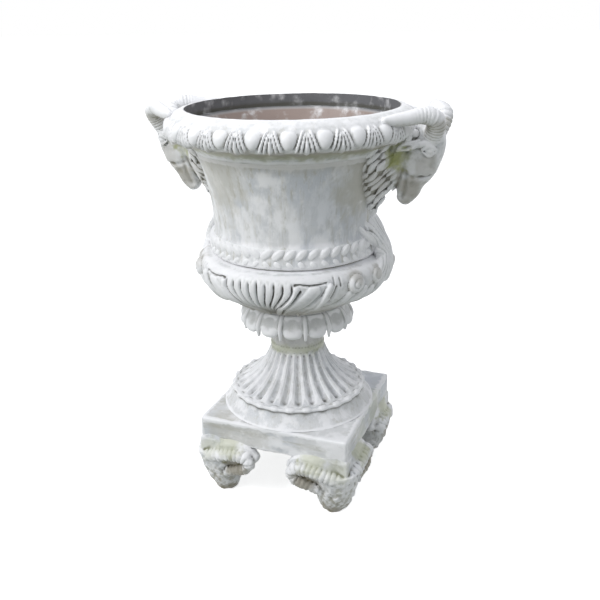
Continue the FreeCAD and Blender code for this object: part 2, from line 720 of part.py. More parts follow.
document.recompute()
problems = []
for item in document.Objects:
    if "Invalid" in item.State or "Error" in item.State:
        problems.append("%s: %s" % (item.Label, item.State))
for item in nodes:
    if item.Shape.isNull() or not item.Shape.isValid():
        problems.append("%s has no valid shape" % item.Label)
if problems:
    raise RuntimeError("; ".join(problems))

os.makedirs("parts", exist_ok=True)
for item in nodes:
    item.Shape.exportStep("parts/%s.step" % item.Label)
    box = item.Shape.BoundBox
    print("%-24s %d solid(s) %9.1f cm3  x %.0f..%.0f y %.0f..%.0f z %.0f..%.0f" % (
        item.Label, len(item.Shape.Solids), item.Shape.Volume / 1000,
        box.XMin, box.XMax, box.YMin, box.YMax, box.ZMin, box.ZMax))
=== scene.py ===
import json
import math
import bpy
import numpy as np
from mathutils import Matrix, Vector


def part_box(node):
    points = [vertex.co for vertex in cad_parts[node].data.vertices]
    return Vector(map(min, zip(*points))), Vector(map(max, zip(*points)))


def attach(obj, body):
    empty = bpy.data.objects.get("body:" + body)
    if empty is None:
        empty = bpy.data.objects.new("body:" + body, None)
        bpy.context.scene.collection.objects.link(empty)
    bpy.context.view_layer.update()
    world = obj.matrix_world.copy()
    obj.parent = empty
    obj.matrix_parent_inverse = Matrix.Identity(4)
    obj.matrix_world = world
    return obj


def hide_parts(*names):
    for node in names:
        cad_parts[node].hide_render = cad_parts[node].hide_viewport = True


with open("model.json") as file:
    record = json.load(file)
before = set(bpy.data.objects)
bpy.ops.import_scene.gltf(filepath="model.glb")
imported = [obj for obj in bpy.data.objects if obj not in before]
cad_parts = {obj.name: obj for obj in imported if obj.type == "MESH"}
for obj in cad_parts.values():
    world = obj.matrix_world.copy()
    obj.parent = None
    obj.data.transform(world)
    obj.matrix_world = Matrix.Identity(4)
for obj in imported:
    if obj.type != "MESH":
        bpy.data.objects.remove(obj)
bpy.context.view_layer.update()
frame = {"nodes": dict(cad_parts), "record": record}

import openvdb
from mathutils import Matrix, Vector

# Looks of a footed garden urn in painted cast stone. Lengths are written in mm, and meshes are in
# metres. The axis is Z, the ram's-head handles lie along X, and one plinth face looks to -Y.
mm = 0.001


# The camera stands where the photograph was taken from.
cameraView = {
    "spot": (577.7, -1463.5, 1042.0),   # mm
    "azimuth": 21.54,                   # degrees to the right of the plinth's front face
    "pitch": 21.27,                     # degrees down
    "roll": 1.32,
    "lens": 44.99,                      # mm on a sensor of 36 mm
    "shift": 0.0054,
}


def makeCamera(view):
    azimuth, pitch, roll = (math.radians(view[key]) for key in ("azimuth", "pitch", "roll"))
    right = Vector((math.cos(azimuth), math.sin(azimuth), 0))
    ahead = Vector((-math.sin(azimuth) * math.cos(pitch), math.cos(azimuth) * math.cos(pitch),
                    -math.sin(pitch)))
    upward = right.cross(ahead)
    sideways = right * math.cos(roll) - upward * math.sin(roll)
    upward = right * math.sin(roll) + upward * math.cos(roll)
    camera = bpy.data.objects.new("camera", bpy.data.cameras.new("camera"))
    camera.data.lens = view["lens"]
    camera.data.sensor_width = 36
    camera.data.shift_x = view["shift"]
    turn = Matrix((sideways, upward, -ahead)).transposed().to_4x4()
    camera.matrix_world = Matrix.Translation(Vector(view["spot"]) * mm) @ turn
    bpy.context.scene.collection.objects.link(camera)
    bpy.context.scene.camera = camera


makeCamera(cameraView)
print("camera set")


# Smooth step from 0 to 1 between low and high.
def ease(value, low, high):
    share = np.clip((value - low) / (high - low), 0, 1)
    return share * share * (3 - 2 * share)


# Smooth noise from -1 to 1 at points of any array shape, with lumps about as large as size (mm).
def lumps(x, y, z, size, seed):
    lattice = np.random.default_rng(seed).uniform(-1, 1, (32, 32, 32)).astype(np.float32)
    total = 0
    spots = []
    for value in (x, y, z):
        scaled = np.asarray(value, np.float32) / size + 500
        whole = np.floor(scaled).astype(int)
        part = scaled - whole
        spots.append((whole % 32, (whole + 1) % 32, part * part * (3 - 2 * part)))
    for ends in np.ndindex(2, 2, 2):
        weight = 1
        for (low, high, part), end in zip(spots, ends):
            weight = weight * (part if end else 1 - part)
        corner = [spot[end] for spot, end in zip(spots, ends)]
        total = total + weight * lattice[corner[0], corner[1], corner[2]]
    return total


# A piece from points in mm.
def makePiece(name, points, faces):
    mesh = bpy.data.meshes.new(name)
    mesh.from_pydata(np.asarray(points) * mm, [], faces)
    mesh.validate()
    piece = bpy.data.objects.new(name, mesh)
    bpy.context.scene.collection.objects.link(piece)
    return piece


def meshPoints(mesh):
    points = np.zeros(len(mesh.vertices) * 3)
    mesh.vertices.foreach_get("co", points)
    return points.reshape(-1, 3) / mm


def meshNormals(mesh):
    normals = np.zeros(len(mesh.vertices) * 3)
    mesh.vertices.foreach_get("normal", normals)
    return normals.reshape(-1, 3)


def setPoints(mesh, points):
    mesh.vertices.foreach_set("co", (np.asarray(points, np.float32) * mm).ravel())
    mesh.update()


def setField(mesh, name, values):
    field = mesh.attributes.get(name) or mesh.attributes.new(name, "FLOAT", "POINT")
    field.data.foreach_set("value", np.asarray(values, np.float32))


# Points along an outline whose corners are (radius, height, bow, spacing). The stretch that leads
# to a corner bows to the left of its way by that share of its chord.
def traceOutline(corners):
    pieces = []
    for number, (radius, height, bow, spacing) in enumerate(corners):
        first = np.array(corners[number - 1][:2], float)
        chord = np.array((radius, height)) - first
        left = np.array((-chord[1], chord[0]))
        share = np.linspace(0, 1, max(2, int(round(np.hypot(*chord) / spacing)) + 1))[1:, None]
        line = first + share * chord
        if bow:
            half = 2 * math.atan(2 * abs(bow))
            turn = half * (2 * share - 1)
            line = first + (0.5 + np.sin(turn) / (2 * math.sin(half))) * chord
            rise = math.copysign(1, bow) * (np.cos(turn) - math.cos(half)) / (2 * math.sin(half))
            line = line + rise * left
        pieces.append(line)
    return np.vstack(pieces)


# One bay of a turned casting: the closed outline swept through the bay's angle, pushed out along
# its normal by relief(degrees from the bay's middle, radius, height, way along the outline), in mm.
def sweepBay(name, outline, count, columns, relief):
    line = traceOutline(outline)
    ahead = np.roll(line, -1, 0) - np.roll(line, 1, 0)
    normal = np.stack((ahead[:, 1], -ahead[:, 0]), 1)
    normal /= np.linalg.norm(normal, axis=1)[:, None]
    way = np.concatenate(([0], np.cumsum(np.linalg.norm(np.diff(line, axis=0), axis=1))))
    span = 360 / count
    degrees = np.linspace(-span / 2, span / 2, columns + 1)[None, :]
    radius, height = line[:, :1], line[:, 1:]
    push = relief(degrees, radius, height, way[:, None]) + np.zeros((len(line), columns + 1))
    away = radius + normal[:, :1] * push
    level = height + normal[:, 1:] * push
    turn = np.radians(degrees)
    points = np.stack((away * np.cos(turn), away * np.sin(turn), level), -1).reshape(-1, 3)
    row, column = np.meshgrid(np.arange(len(line)), np.arange(columns), indexing="ij")
    width = columns + 1
    following = (row + 1) % len(line)
    here, beyond = row * width + column, following * width + column
    faces = np.stack((here, here + 1, beyond + 1, beyond), -1).reshape(-1, 4)
    return makePiece(name, points, faces)


# Adds a node with its settings, and a link or a value for each input.
def addNode(tree, kind, links=None, **settings):
    item = tree.nodes.new(kind)
    for key, value in settings.items():
        setattr(item, key, value)
    for key, value in (links or {}).items():
        if isinstance(value, bpy.types.NodeSocket):
            tree.links.new(value, item.inputs[key])
        else:
            item.inputs[key].default_value = value
    return item


def newTree(name, sockets):
    tree = bpy.data.node_groups.new(name, "GeometryNodeTree")
    for label, kind, default in sockets:
        socket = tree.interface.new_socket(label, in_out="INPUT", socket_type="NodeSocket" + kind)
        if default is not None:
            socket.default_value = default
    tree.interface.new_socket("Geometry", in_out="OUTPUT", socket_type="NodeSocketGeometry")
    return tree, tree.nodes.new("NodeGroupInput").outputs


def endTree(tree, geometry, material):
    real = addNode(tree, "GeometryNodeRealizeInstances", {0: geometry})
    return addNode(tree, "GeometryNodeSetMaterial", {
        "Geometry": real.outputs[0], "Material": material})


# Copies one bay round the axis and welds the copies together.
def ringTree():
    tree, given = newTree("ring of bays", (
        ("Geometry", "Geometry", None), ("Bays", "Int", 12), ("First Turn", "Float", 0.0),
        ("Weld", "Float", 0.02 * mm), ("Material", "Material", None)))
    step = addNode(tree, "ShaderNodeMath", {0: math.tau, 1: given["Bays"]}, operation="DIVIDE")
    index = addNode(tree, "GeometryNodeInputIndex")
    angle = addNode(tree, "ShaderNodeMath", {0: index.outputs[0], 1: step.outputs[0],
                                             2: given["First Turn"]}, operation="MULTIPLY_ADD")
    turn = addNode(tree, "ShaderNodeCombineXYZ", {"Z": angle.outputs[0]})
    spots = addNode(tree, "GeometryNodePoints", {"Count": given["Bays"]})
    copies = addNode(tree, "GeometryNodeInstanceOnPoints", {
        "Points": spots.outputs[0], "Instance": given["Geometry"], "Rotation": turn.outputs[0]})
    done = endTree(tree, copies.outputs[0], given["Material"])
    weld = addNode(tree, "GeometryNodeMergeByDistance", {
        "Geometry": done.outputs[0], "Distance": given["Weld"]})
    addNode(tree, "NodeGroupOutput", {0: weld.outputs[0]})
    return tree


# Sets one small shape on every point of a mesh, turned by the point's "turn" (radians) and sized
# by its "grow".
def spotsTree():
    tree, given = newTree("shape on spots", (
        ("Geometry", "Geometry", None), ("Shape", "Object", None), ("Size", "Float", 1.0),
        ("Material", "Material", None)))
    shape = addNode(tree, "GeometryNodeObjectInfo", {"Object": given["Shape"]})
    attribute = "GeometryNodeInputNamedAttribute"
    turn = addNode(tree, attribute, {"Name": "turn"}, data_type="FLOAT_VECTOR")
    grow = addNode(tree, attribute, {"Name": "grow"}, data_type="FLOAT")
    scale = addNode(tree, "ShaderNodeMath", {0: grow.outputs[0], 1: given["Size"]},
                    operation="MULTIPLY")
    copies = addNode(tree, "GeometryNodeInstanceOnPoints", {
        "Points": given["Geometry"], "Instance": shape.outputs["Geometry"],
        "Rotation": turn.outputs[0], "Scale": scale.outputs[0]})
    done = endTree(tree, copies.outputs[0], given["Material"])
    addNode(tree, "NodeGroupOutput", {0: done.outputs[0]})
    return tree


# Runs a tree on a piece and keeps the result as its plain mesh.
def runTree(piece, tree, inputs):
    modifier = piece.modifiers.new(tree.name, "NODES")
    modifier.node_group = tree
    for item in tree.interface.items_tree:
        if item.in_out == "INPUT" and item.name in inputs:
            modifier[item.identifier] = inputs[item.name]
    bpy.context.view_layer.update()
    made = piece.evaluated_get(bpy.context.evaluated_depsgraph_get())
    mesh = bpy.data.meshes.new_from_object(made)
    piece.modifiers.remove(modifier)
    piece.data = mesh
    return piece


# Linear colour of an sRGB hex value.
def colour(code):
    channels = [int(code[start:start + 2], 16) / 255 for start in (1, 3, 5)]
    linear = [value / 12.92 if value <= 0.04045 else ((value + 0.055) / 1.055) ** 2.4
              for value in channels]
    return (*linear, 1)


def newMaterial(name):
    material = bpy.data.materials.new(name)
    material.use_nodes = True
    material.node_tree.nodes.clear()
    return material, material.node_tree


# Cast stone under brushed-on silver-white paint. Thin coats leave long streaks and a patchy tone.
# Hollows take grime and painted shade, and edges are rubbed pale and take painted highlight.
stonePaint = {
    "coat": "#dcddde", "pale": "#f8f8fa", "blue": "#c2c8d2", "warm": "#b9b7ac", "dirtAndShade": "#57564f",
    "algae": "#9ba05f", "earthAndShade": "#827a63", "soil": "#a09089", "dusk": "#707174",
    "roughness": (0.35, 0.56),
    # lump size in mm, detail, roughness, and how much of the brush's stretch it takes
    "patterns": {
        "speckle": (2.2, 2, 0.55, 0), "cloud": (34, 4, 0.55, 0), "broad": (110, 2, 0.55, 0),
        "sand": (1.3, 3, 0.55, 0), "brush": (11, 3, 0.65, 1), "wash": (38, 5, 0.6, 0.5),
        "fine": (3.2, 2, 0.6, 1)},
}


# Colours are laid over the coat in turn. Each has one or two masks: a pattern or a field of the
# mesh, and the level at which it starts, the level at which it is full, and its strength.
def paintedStone(name, streak, patch):
    # Painted light among these layers: the white field lays painted highlights, the two shade
    # fields lay bluish and grey painted shade, and the brown-grey earth colour is partly painted
    # shade.
    layers = (
        ("blue", ("broad", 0.46, 0.68, 0.6 * patch)), ("warm", ("brush", 0.48, 0.72, patch)),
        ("pale", ("wash", 0.46, 0.62, 0.85)), ("pale", ("fine", 0.55, 0.75, 0.5)),
        ("blue", ("coolShade",)), ("pale", ("white",), ("wash", 0.36, 0.52, 1)), ("warm", ("shadeAndGreying",)),
        ("pale", ("ridge", 0.06, 0.6, 0.85)), ("soil", ("soil",), ("cloud", 0.25, 0.5, 1)),
        ("dusk", ("dusk",), ("cloud", 0.2, 0.5, 1)),
        ("dirtAndShade", ("hollow", 0.25, 1.9, 0.92), ("cloud", 0.08, 0.55, 1)),
        ("earthAndShade", ("earthAndShade",)), ("algae", ("algae",)), ("dirtAndShade", ("speckle", 0.68, 0.8, 0.35)))
    material, tree = newMaterial(name)
    place = addNode(tree, "ShaderNodeTexCoord").outputs["Object"]
    sources = {}
    for label, (size, detail, rough, pull) in stonePaint["patterns"].items():
        stretch = [1 + pull * (part - 1) for part in streak]
        spot = addNode(tree, "ShaderNodeMapping", {"Vector": place, "Scale": stretch})
        sources[label] = addNode(tree, "ShaderNodeTexNoise", {
            "Vector": spot.outputs[0], "Scale": 1 / (size * mm), "Detail": detail,
            "Roughness": rough}).outputs["Fac"]
    tint = colour(stonePaint["coat"])
    for shade, *masks in layers:
        cover = None
        for source, *levels in masks:
            if source not in sources:
                field = addNode(tree, "ShaderNodeAttribute", attribute_name=source)
                sources[source] = field.outputs["Fac"]
            part = sources[source]
            if levels:
                part = addNode(tree, "ShaderNodeMapRange", {
                    "Value": part, "From Min": levels[0], "From Max": levels[1],
                    "To Max": levels[2]}, interpolation_type="SMOOTHSTEP").outputs[0]
            if cover:
                part = addNode(tree, "ShaderNodeMath", {0: cover, 1: part},
                               operation="MULTIPLY").outputs[0]
            cover = part
        tint = addNode(tree, "ShaderNodeMix", {0: cover, 6: tint, 7: colour(stonePaint[shade])},
                       data_type="RGBA").outputs[2]
    low, high = stonePaint["roughness"]
    rough = addNode(tree, "ShaderNodeMapRange", {
        "Value": sources["cloud"], "To Min": low, "To Max": high})
    grain = addNode(tree, "ShaderNodeBump", {
        "Height": sources["sand"], "Strength": 0.16, "Distance": 0.6 * mm})
    coats = addNode(tree, "ShaderNodeBump", {
        "Height": sources["brush"], "Strength": 0.22, "Distance": 0.9 * mm,
        "Normal": grain.outputs[0]})
    shader = addNode(tree, "ShaderNodeBsdfPrincipled", {
        "Base Color": tint, "Roughness": rough.outputs[0], "IOR": 1.5, "Normal": coats.outputs[0]})
    addNode(tree, "ShaderNodeOutputMaterial", {"Surface": shader.outputs[0]})
    return material


stoneBell = paintedStone("cast stone, paint brushed down the bell", (1, 1, 0.09), 0.85)
stoneCarved = paintedStone("cast stone, paint rubbed over carving", (1, 1, 0.6), 0.45)
stonePlinth = paintedStone("cast stone, paint brushed along the plinth", (0.12, 0.16, 1), 0.7)
print("stone materials made")


# Points drawn towards their neighbours, round by round.
def relaxed(points, edges, rounds):
    first, second = edges[:, 0], edges[:, 1]
    share = np.bincount(edges.ravel(), minlength=len(points))[:, None]
    for _ in range(rounds):
        total = np.stack([np.bincount(first, points[second, axis], len(points))
                          + np.bincount(second, points[first, axis], len(points))
                          for axis in range(3)], 1)
        points = 0.5 * points + 0.5 * total / np.maximum(share, 1)
    return points


# Hand-cast unevenness, then how deep each point lies in a hollow or stands on a ridge (mm).
def weather(piece, uneven, sharp):
    mesh = piece.data
    edges = np.zeros(len(mesh.edges) * 2, int)
    mesh.edges.foreach_get("vertices", edges)
    edges = edges.reshape(-1, 2)
    points, normals = meshPoints(mesh), meshNormals(mesh)
    push = lumps(*points.T, 17, 3) * uneven + lumps(*points.T, 6, 4) * uneven * 0.35
    points = points + normals * push[:, None]
    setPoints(mesh, points)
    length = np.linalg.norm(points[edges[:, 0]] - points[edges[:, 1]], axis=1).mean()
    reach, mostRounds = 7, 60
    smooth = relaxed(points, edges, min(mostRounds, int(2 * (reach / length) ** 2) + 1))
    depth = ((smooth - points) * normals).sum(1)
    setField(mesh, "hollow", np.maximum(depth, 0))
    setField(mesh, "ridge", np.maximum(-depth, 0))
    mesh.polygons.foreach_set("use_smooth", np.ones(len(mesh.polygons), bool))
    mesh.set_sharp_from_angle(angle=math.radians(sharp))


# Soft stains, painted highlights and painted shade: spots are (field, x, y, z, reach, strength),
# and bands are (field, low, middle, high, strength), in mm.
def paintStainsAndLight(piece, spots, bands):
    points = meshPoints(piece.data)
    ragged = lumps(*points.T, 13, 9) + 0.6 * lumps(*points.T, 5, 10)
    height = points[:, 2] + 5 * ragged
    for name in ("white", "coolShade", "shadeAndGreying", "earthAndShade", "algae"):
        total = np.zeros(len(points))
        for kind, x, y, z, reach, strength in spots:
            if kind == name:
                away = np.linalg.norm(points - (x, y, z), axis=1) * (1 + 0.4 * ragged)
                total = np.maximum(total, strength * (1 - ease(away, reach * 0.3, reach)))
        for kind, low, middle, high, strength in bands:
            if kind == name:
                inBand = strength * ease(height, low, middle) * (1 - ease(height, middle, high))
                total = np.maximum(total, inBand)
        setField(piece.data, name, total)


# Soil marks on the faces turned to the axis, and on level ones nearer to it than reach (mm).
def soil(piece, reach):
    points, normals = meshPoints(piece.data), meshNormals(piece.data)
    mouth, lipTop = rim["mouth"]
    bandFoot = lipTop - rim["innerBand"]
    away = np.hypot(points[:, 0], points[:, 1]) + 1e-6
    facing = -(points[:, :2] * normals[:, :2]).sum(1) / away
    inner = np.maximum(ease(facing, 0, 0.4) * (away < mouth + 2),
                       ease(normals[:, 2], 0.5, 0.7) * (away < reach))
    upper = ease(points[:, 2], bandFoot - 5, bandFoot)
    setField(piece.data, "soil", inner * (1 - upper))
    setField(piece.data, "dusk", inner * upper)
    for name in ("earthAndShade", "algae"):
        values = np.zeros(len(points))
        piece.data.attributes[name].data.foreach_get("value", values)
        setField(piece.data, name, values * (1 - inner))


def finishStone(piece, material, nodes, uneven=0.5, sharp=50, stainsAndPaintedLight=(), bands=(),
                inside=0):
    piece.data.materials.clear()
    piece.data.materials.append(material)
    weather(piece, uneven, sharp)
    paintStainsAndLight(piece, stainsAndPaintedLight, bands)
    if inside:
        soil(piece, inside)
    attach(piece, "root")
    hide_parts(*nodes)
    triangles = sum(len(face.vertices) - 2 for face in piece.data.polygons)
    print(piece.name, "has", triangles, "triangles")


ring = ringTree()
onSpots = spotsTree()


def ringPiece(name, outline, count, columns, relief, turn, material):
    bay = sweepBay(name, outline, count, columns, relief)
    return runTree(bay, ring, {
        "Bays": count, "First Turn": math.radians(turn), "Material": material})


# A block of points that holds a form as a field: the distance (mm) to its surface, below 0 inside.
class Clay:
    def __init__(self, low, high, grain):
        self.low, self.grain = np.array(low, float), grain
        self.size = np.ceil((np.array(high) - self.low) / grain).astype(int) + 1
        self.x, self.y, self.z = self.spots(np.zeros(3, int), self.size)

    def spots(self, first, last):
        return np.ix_(*[(low + self.grain * np.arange(start, stop)).astype(np.float32)
                        for low, start, stop in zip(self.low, first, last)])

    # Bar through stations (x, y, z, half depth, half width), its width along the sideways
    # direction, in the block's own coordinates or in those of place. Returns the field and the
    # way along (mm).
    def swept(self, stations, sideways=(0, 1, 0), place=None, finer=6, margin=14):
        line = smoothLine(stations, finer)
        field, along = np.full(self.size, 99, np.float32), np.zeros(self.size, np.float32)
        passed = 0
        for first, last in zip(line[:-1], line[1:]):
            run = last[:3] - first[:3]
            length = np.linalg.norm(run)
            if place is None:
                reach = max(first[3:].max(), last[3:].max()) + margin
                lowest = np.minimum(first[:3], last[:3]) - reach
                highest = np.maximum(first[:3], last[:3]) + reach
                start = np.floor((lowest - self.low) / self.grain)
                stop = np.ceil((highest - self.low) / self.grain) + 1
                start = np.clip(start, 0, self.size - 1).astype(int)
                stop = np.clip(stop, start + 1, self.size).astype(int)
                cut = tuple(slice(one, two) for one, two in zip(start, stop))
                spots = self.spots(start, stop)
            else:
                cut, spots = (slice(None),) * 3, place
            x, y, z = (spot - base for spot, base in zip(spots, first[:3]))
            share = np.clip((x * run[0] + y * run[1] + z * run[2]) / length ** 2, 0, 1)
            x, y, z = x - share * run[0], y - share * run[1], z - share * run[2]
            across = x * sideways[0] + y * sideways[1] + z * sideways[2]
            rest = x * x + y * y + z * z - across * across
            depth = first[3] + share * (last[3] - first[3])
            width = first[4] + share * (last[4] - first[4])
            near = np.sqrt(rest / depth ** 2 + (across / width) ** 2)
            steep = np.sqrt(rest / depth ** 4 + (across / width ** 2) ** 2) + 1e-4
            away = near * (near - 1) / steep
            closer = away < field[cut]
            along[cut] = np.where(closer, passed + share * length, along[cut])
            field[cut] = np.where(closer, away, field[cut])
            passed += length
        return field, along

    def bar(self, *stations, sideways=(0, 1, 0)):
        full = [station if len(station) == 5 else (*station, station[3]) for station in stations]
        return self.swept(full, sideways)[0]

    def ball(self, middle, radii, place=None):
        near = steep = 0
        for spot, centre, radius in zip(place or (self.x, self.y, self.z), middle, radii):
            near = near + ((spot - centre) / radius) ** 2
            steep = steep + ((spot - centre) / radius ** 2) ** 2
        near = np.sqrt(near)
        return near * (near - 1) / (np.sqrt(steep) + 1e-4)

    def box(self, low, high, rounding):
        away = [np.abs(spot - (one + two) / 2) - (two - one) / 2 + rounding
                for spot, one, two in zip((self.x, self.y, self.z), low, high)]
        inside = np.minimum(np.maximum(np.maximum(away[0], away[1]), away[2]), 0)
        return np.sqrt(sum(np.maximum(part, 0) ** 2 for part in away)) + inside - rounding

    def mesh(self, field):
        grid = openvdb.FloatGrid(background=9.0)
        grid.copyFromArray(np.clip(field, -9, 9))
        points, faces = grid.convertToQuads(isovalue=0.0)
        return np.array(points) * self.grain + self.low, np.array(faces)


def smoothLine(stations, finer):
    table = np.array(stations, float)
    if len(table) == 2:
        return table
    padded = np.vstack((2 * table[0] - table[1], table, 2 * table[-1] - table[-2]))
    padded[0, 3:], padded[-1, 3:] = table[0, 3:], table[-1, 3:]
    line = [table[0]]
    for number in range(len(table) - 1):
        before, first, last, after = padded[number:number + 4]
        for step in range(1, finer + 1):
            share = step / finer
            line.append(0.5 * (2 * first + (last - before) * share
                               + (2 * before - 5 * first + 4 * last - after) * share ** 2
                               + (3 * first - before - 3 * last + after) * share ** 3))
    return np.array(line)


def blend(first, second, soft):
    share = np.clip(0.5 + 0.5 * (second - first) / soft, 0, 1)
    return second + (first - second) * share - soft * share * (1 - share)


def carve(form, tool, soft):
    return -blend(-form, tool, soft)


# Rows of rounded ridges a pitch apart, from 0 in the grooves to 1 on the crests.
def ridges(way, pitch, sharpness=0.7):
    return np.abs(np.sin(np.pi * way / pitch)) ** sharpness


def solidPiece(name, points, faces, flips=()):
    points = points.copy()
    for axis in flips:
        points[:, axis] *= -1
    first, second, third = (points[faces[:, corner]] for corner in (0, 1, 2))
    inside = (np.cross(second - first, third - first) * first).sum() < 0
    return makePiece(name, points, faces[:, ::-1] if inside else faces)


# One sculpted form (points and faces), finished once for each label. A label's flips are the
# axes that it is mirrored on.
def mirroredPieces(node, labels, form, stainsAndPaintedLight=(), bands=()):
    for label, flips in labels.items():
        piece = solidPiece("%s_%s_stone" % (node, label), *form, flips)
        signs = [-1 if axis in flips else 1 for axis in (0, 1)]
        spots = [(kind, signs[0] * px, signs[1] * py, *rest) for kind, px, py, *rest in stainsAndPaintedLight]
        finishStone(piece, stoneCarved, ["%s_%s" % (node, label)], 0.4, 75, spots, bands)


# Outer radius of the upper bowl at any height, from its plain outline.
def bowlRadius(height):
    low, band = bell["bottom"], bell["bottom"] + bell["bandHeight"]
    outline = traceOutline([
        (bell["bandLow"], low, 0, 5), (bell["bandTop"], band, -0.02, 5),
        (bell["waist"], band + 1, 0, 5), (rim["throat"], rim["split"], 0.04, 5),
        (*rim["bead"], 0.1, 3), (*rim["ground"], -0.1, 2), (*rim["lip"], -0.1, 2),
        (*rim["mouth"], -0.1, 2)])
    outline = outline[outline[:, 1].argmin():]
    return np.interp(height, outline[:, 1], outline[:, 0]).astype(np.float32)


# Rim: cups with splayed ribs between them.
rim = {
    "bays": 25, "columns": 30, "turn": -70.3,
    "throat": 203, "split": 775,           # where the rim meets the bell's wall
    "bead": (252, 802), "ground": (261, 816), "lip": (247, 846), "mouth": (220, 858),
    "innerBand": 27, "ledge": 14, "bore": 184,
    "cup": (15, 18.5, 7.5, 0.25),            # half width, half height, swell and taper
    "cupHeight": 827,
    # distance from the cup's middle, lean, half width, swell, lowest and highest point
    "ribs": ((19.8, 0.34, 3.3, 4.8, -25, 20), (26.6, 0.25, 3.2, 4.4, -27, 15)),
    "dart": (2.2, 5.5, 4.5),               # half width at its top, at its foot, and swell
    "dartWidens": (-4, 22), "dartStarts": (-14, -2),
    # where the carving fades, by radius, at its foot and at its head, and how deep it is sunk
    "carvedFrom": (236, 246), "carvedFoot": (795, 805), "carvedHead": (838, 849), "sunk": 1.2,
}


def rimRelief(degrees, radius, height, way):
    outer = ease(radius, *rim["carvedFrom"]) * ease(height, *rim["carvedFoot"])
    outer = outer * (1 - ease(height, *rim["carvedHead"]))
    side = np.abs(np.radians(degrees)) * radius
    rise = height - rim["cupHeight"]
    wide, tall, swell, taper = rim["cup"]
    reach = (side / (wide + taper * rise)) ** 2 + (rise / tall) ** 2
    carved = swell * np.clip(1 - reach, 0, 1) ** 0.65
    for middle, lean, half, swell, low, high in rim["ribs"]:
        away = (side - middle - lean * rise) / half
        rib = swell * np.clip(1 - away ** 2, 0, 1) ** 0.8
        rib = rib * ease(rise, low, low + 7) * (1 - ease(rise, high - 9, high))
        carved = np.maximum(carved, rib)
    slim, foot, swell = rim["dart"]
    half = slim + (foot - slim) * ease(-rise, *rim["dartWidens"])
    away = (np.pi * radius / rim["bays"] - side) / half
    dart = swell * np.clip(1 - away ** 2, 0, 1) ** 0.8 * ease(-rise, *rim["dartStarts"])
    return outer * (np.maximum(carved, dart) - rim["sunk"])


def makeRim():
    bead, ground, lip, mouth = rim["bead"], rim["ground"], rim["lip"], rim["mouth"]
    low = rim["split"]
    outline = [
        (rim["throat"], low, 0, 6), (*bead, 0.1, 4), (*ground, -0.1, 1.9), (*lip, -0.1, 1.9),
        (*mouth, -0.1, 3), (mouth[0], mouth[1] - rim["innerBand"], 0, 7),
        (mouth[0] - rim["ledge"], mouth[1] - rim["innerBand"], 0, 5), (rim["bore"], low, 0, 8)]
    piece = ringPiece("rim_moulding", outline, rim["bays"], rim["columns"], rimRelief,
                      rim["turn"], stoneCarved)
    # The bands darken the cove under the rim's bead, partly as grime and algae and partly as
    # painted shade.
    finishStone(piece, stoneCarved, ["bowl_upper"], 0.6, inside=mouth[0] - 1,
                bands=(("earthAndShade", 780, 796, 810, 0.75), ("algae", 776, 790, 800, 0.35)))


makeRim()


# Bell wall, smooth under its paint.
bell = {
    "bays": 24, "columns": 16, "joint": 178, "bottom": 561, "bandLow": 183, "bandTop": 176,
    "bandHeight": 47, "edge": 6, "waist": 171, "wall": 23, "waistBore": (152, 641),
}
# Painted light on the bell: white patches for highlights on its front, a bluish painted shade right
# of the middle, and grey painted shade towards its sides.
bellPaintedLight = [("white", 23, -189, 722, 50, 0.9), ("white", 8, -186, 690, 46, 0.9),
              ("white", 34, -180, 662, 48, 0.9), ("white", 4, -178, 636, 44, 0.7),
              ("coolShade", 120, -142, 690, 95, 0.4), ("shadeAndGreying", 176, -62, 720, 95, 0.8),
              ("shadeAndGreying", -98, -160, 730, 90, 0.6), ("white", -60, -175, 650, 40, 0.5)]


def plainRelief(degrees, radius, height, way):
    return 0


def makeBell():
    low, band = bell["bottom"], bell["bottom"] + bell["bandHeight"]
    outline = [
        (bell["joint"], low, 0, 6), (bell["bandLow"], low + bell["edge"], -0.2, 2.5),
        (bell["bandTop"], band - bell["edge"], -0.02, 3), (bell["waist"] + 1, band + 9, 0.12, 2.5),
        (rim["throat"], rim["split"], 0.04, 6), (rim["bore"], rim["split"], 0, 8),
        (*bell["waistBore"], -0.03, 9), (bell["joint"] - bell["wall"], low, 0, 9)]
    piece = ringPiece("bell_wall", outline, bell["bays"], bell["columns"], plainRelief, 0,
                      stoneBell)
    # The band darkens the top of the bell under the rim, partly as grime and partly as painted
    # shade.
    finishStone(piece, stoneBell, ["bowl_upper"], 0.8, 50, bellPaintedLight, inside=100,
                bands=(("earthAndShade", 745, 770, 790, 0.3),))


makeBell()


# Laurel leaves on the bell's foot.
laurel = {
    "perQuadrant": 12, "front": -91, "length": 28, "width": 16, "swell": 6.4, "crease": 1.0,
    "rows": ((591.5, 40, 1.12), (571, -38, 0.8)),   # height, lean in degrees and size
    "embed": 1.2, "turnBack": 8,
}


def leafShape(length, width, swell, crease):
    rows, columns = 9, 7
    points, faces = [], []
    for side in (1, -1):
        for row in range(rows):
            along = row / (rows - 1)
            half = width / 2 * math.sin(math.pi * along) ** 0.5 * (1.12 - 0.3 * along)
            for column in range(columns):
                across = 2 * column / (columns - 1) - 1
                rise = swell * (1 - across * across) ** 0.5 * math.sin(math.pi * along) ** 0.5
                rise -= crease * max(0, 1 - abs(across) * 3) * math.sin(math.pi * along)
                points.append((rise if side > 0 else -1, half * across, length * (along - 0.5)))
    grid = rows * columns
    for row in range(rows - 1):
        for column in range(columns - 1):
            first = row * columns + column
            faces.append((first, first + 1, first + columns + 1, first + columns))
            back = grid + first
            faces.append((back, back + columns, back + columns + 1, back + 1))
    return makePiece("laurel_leaf", points, faces)


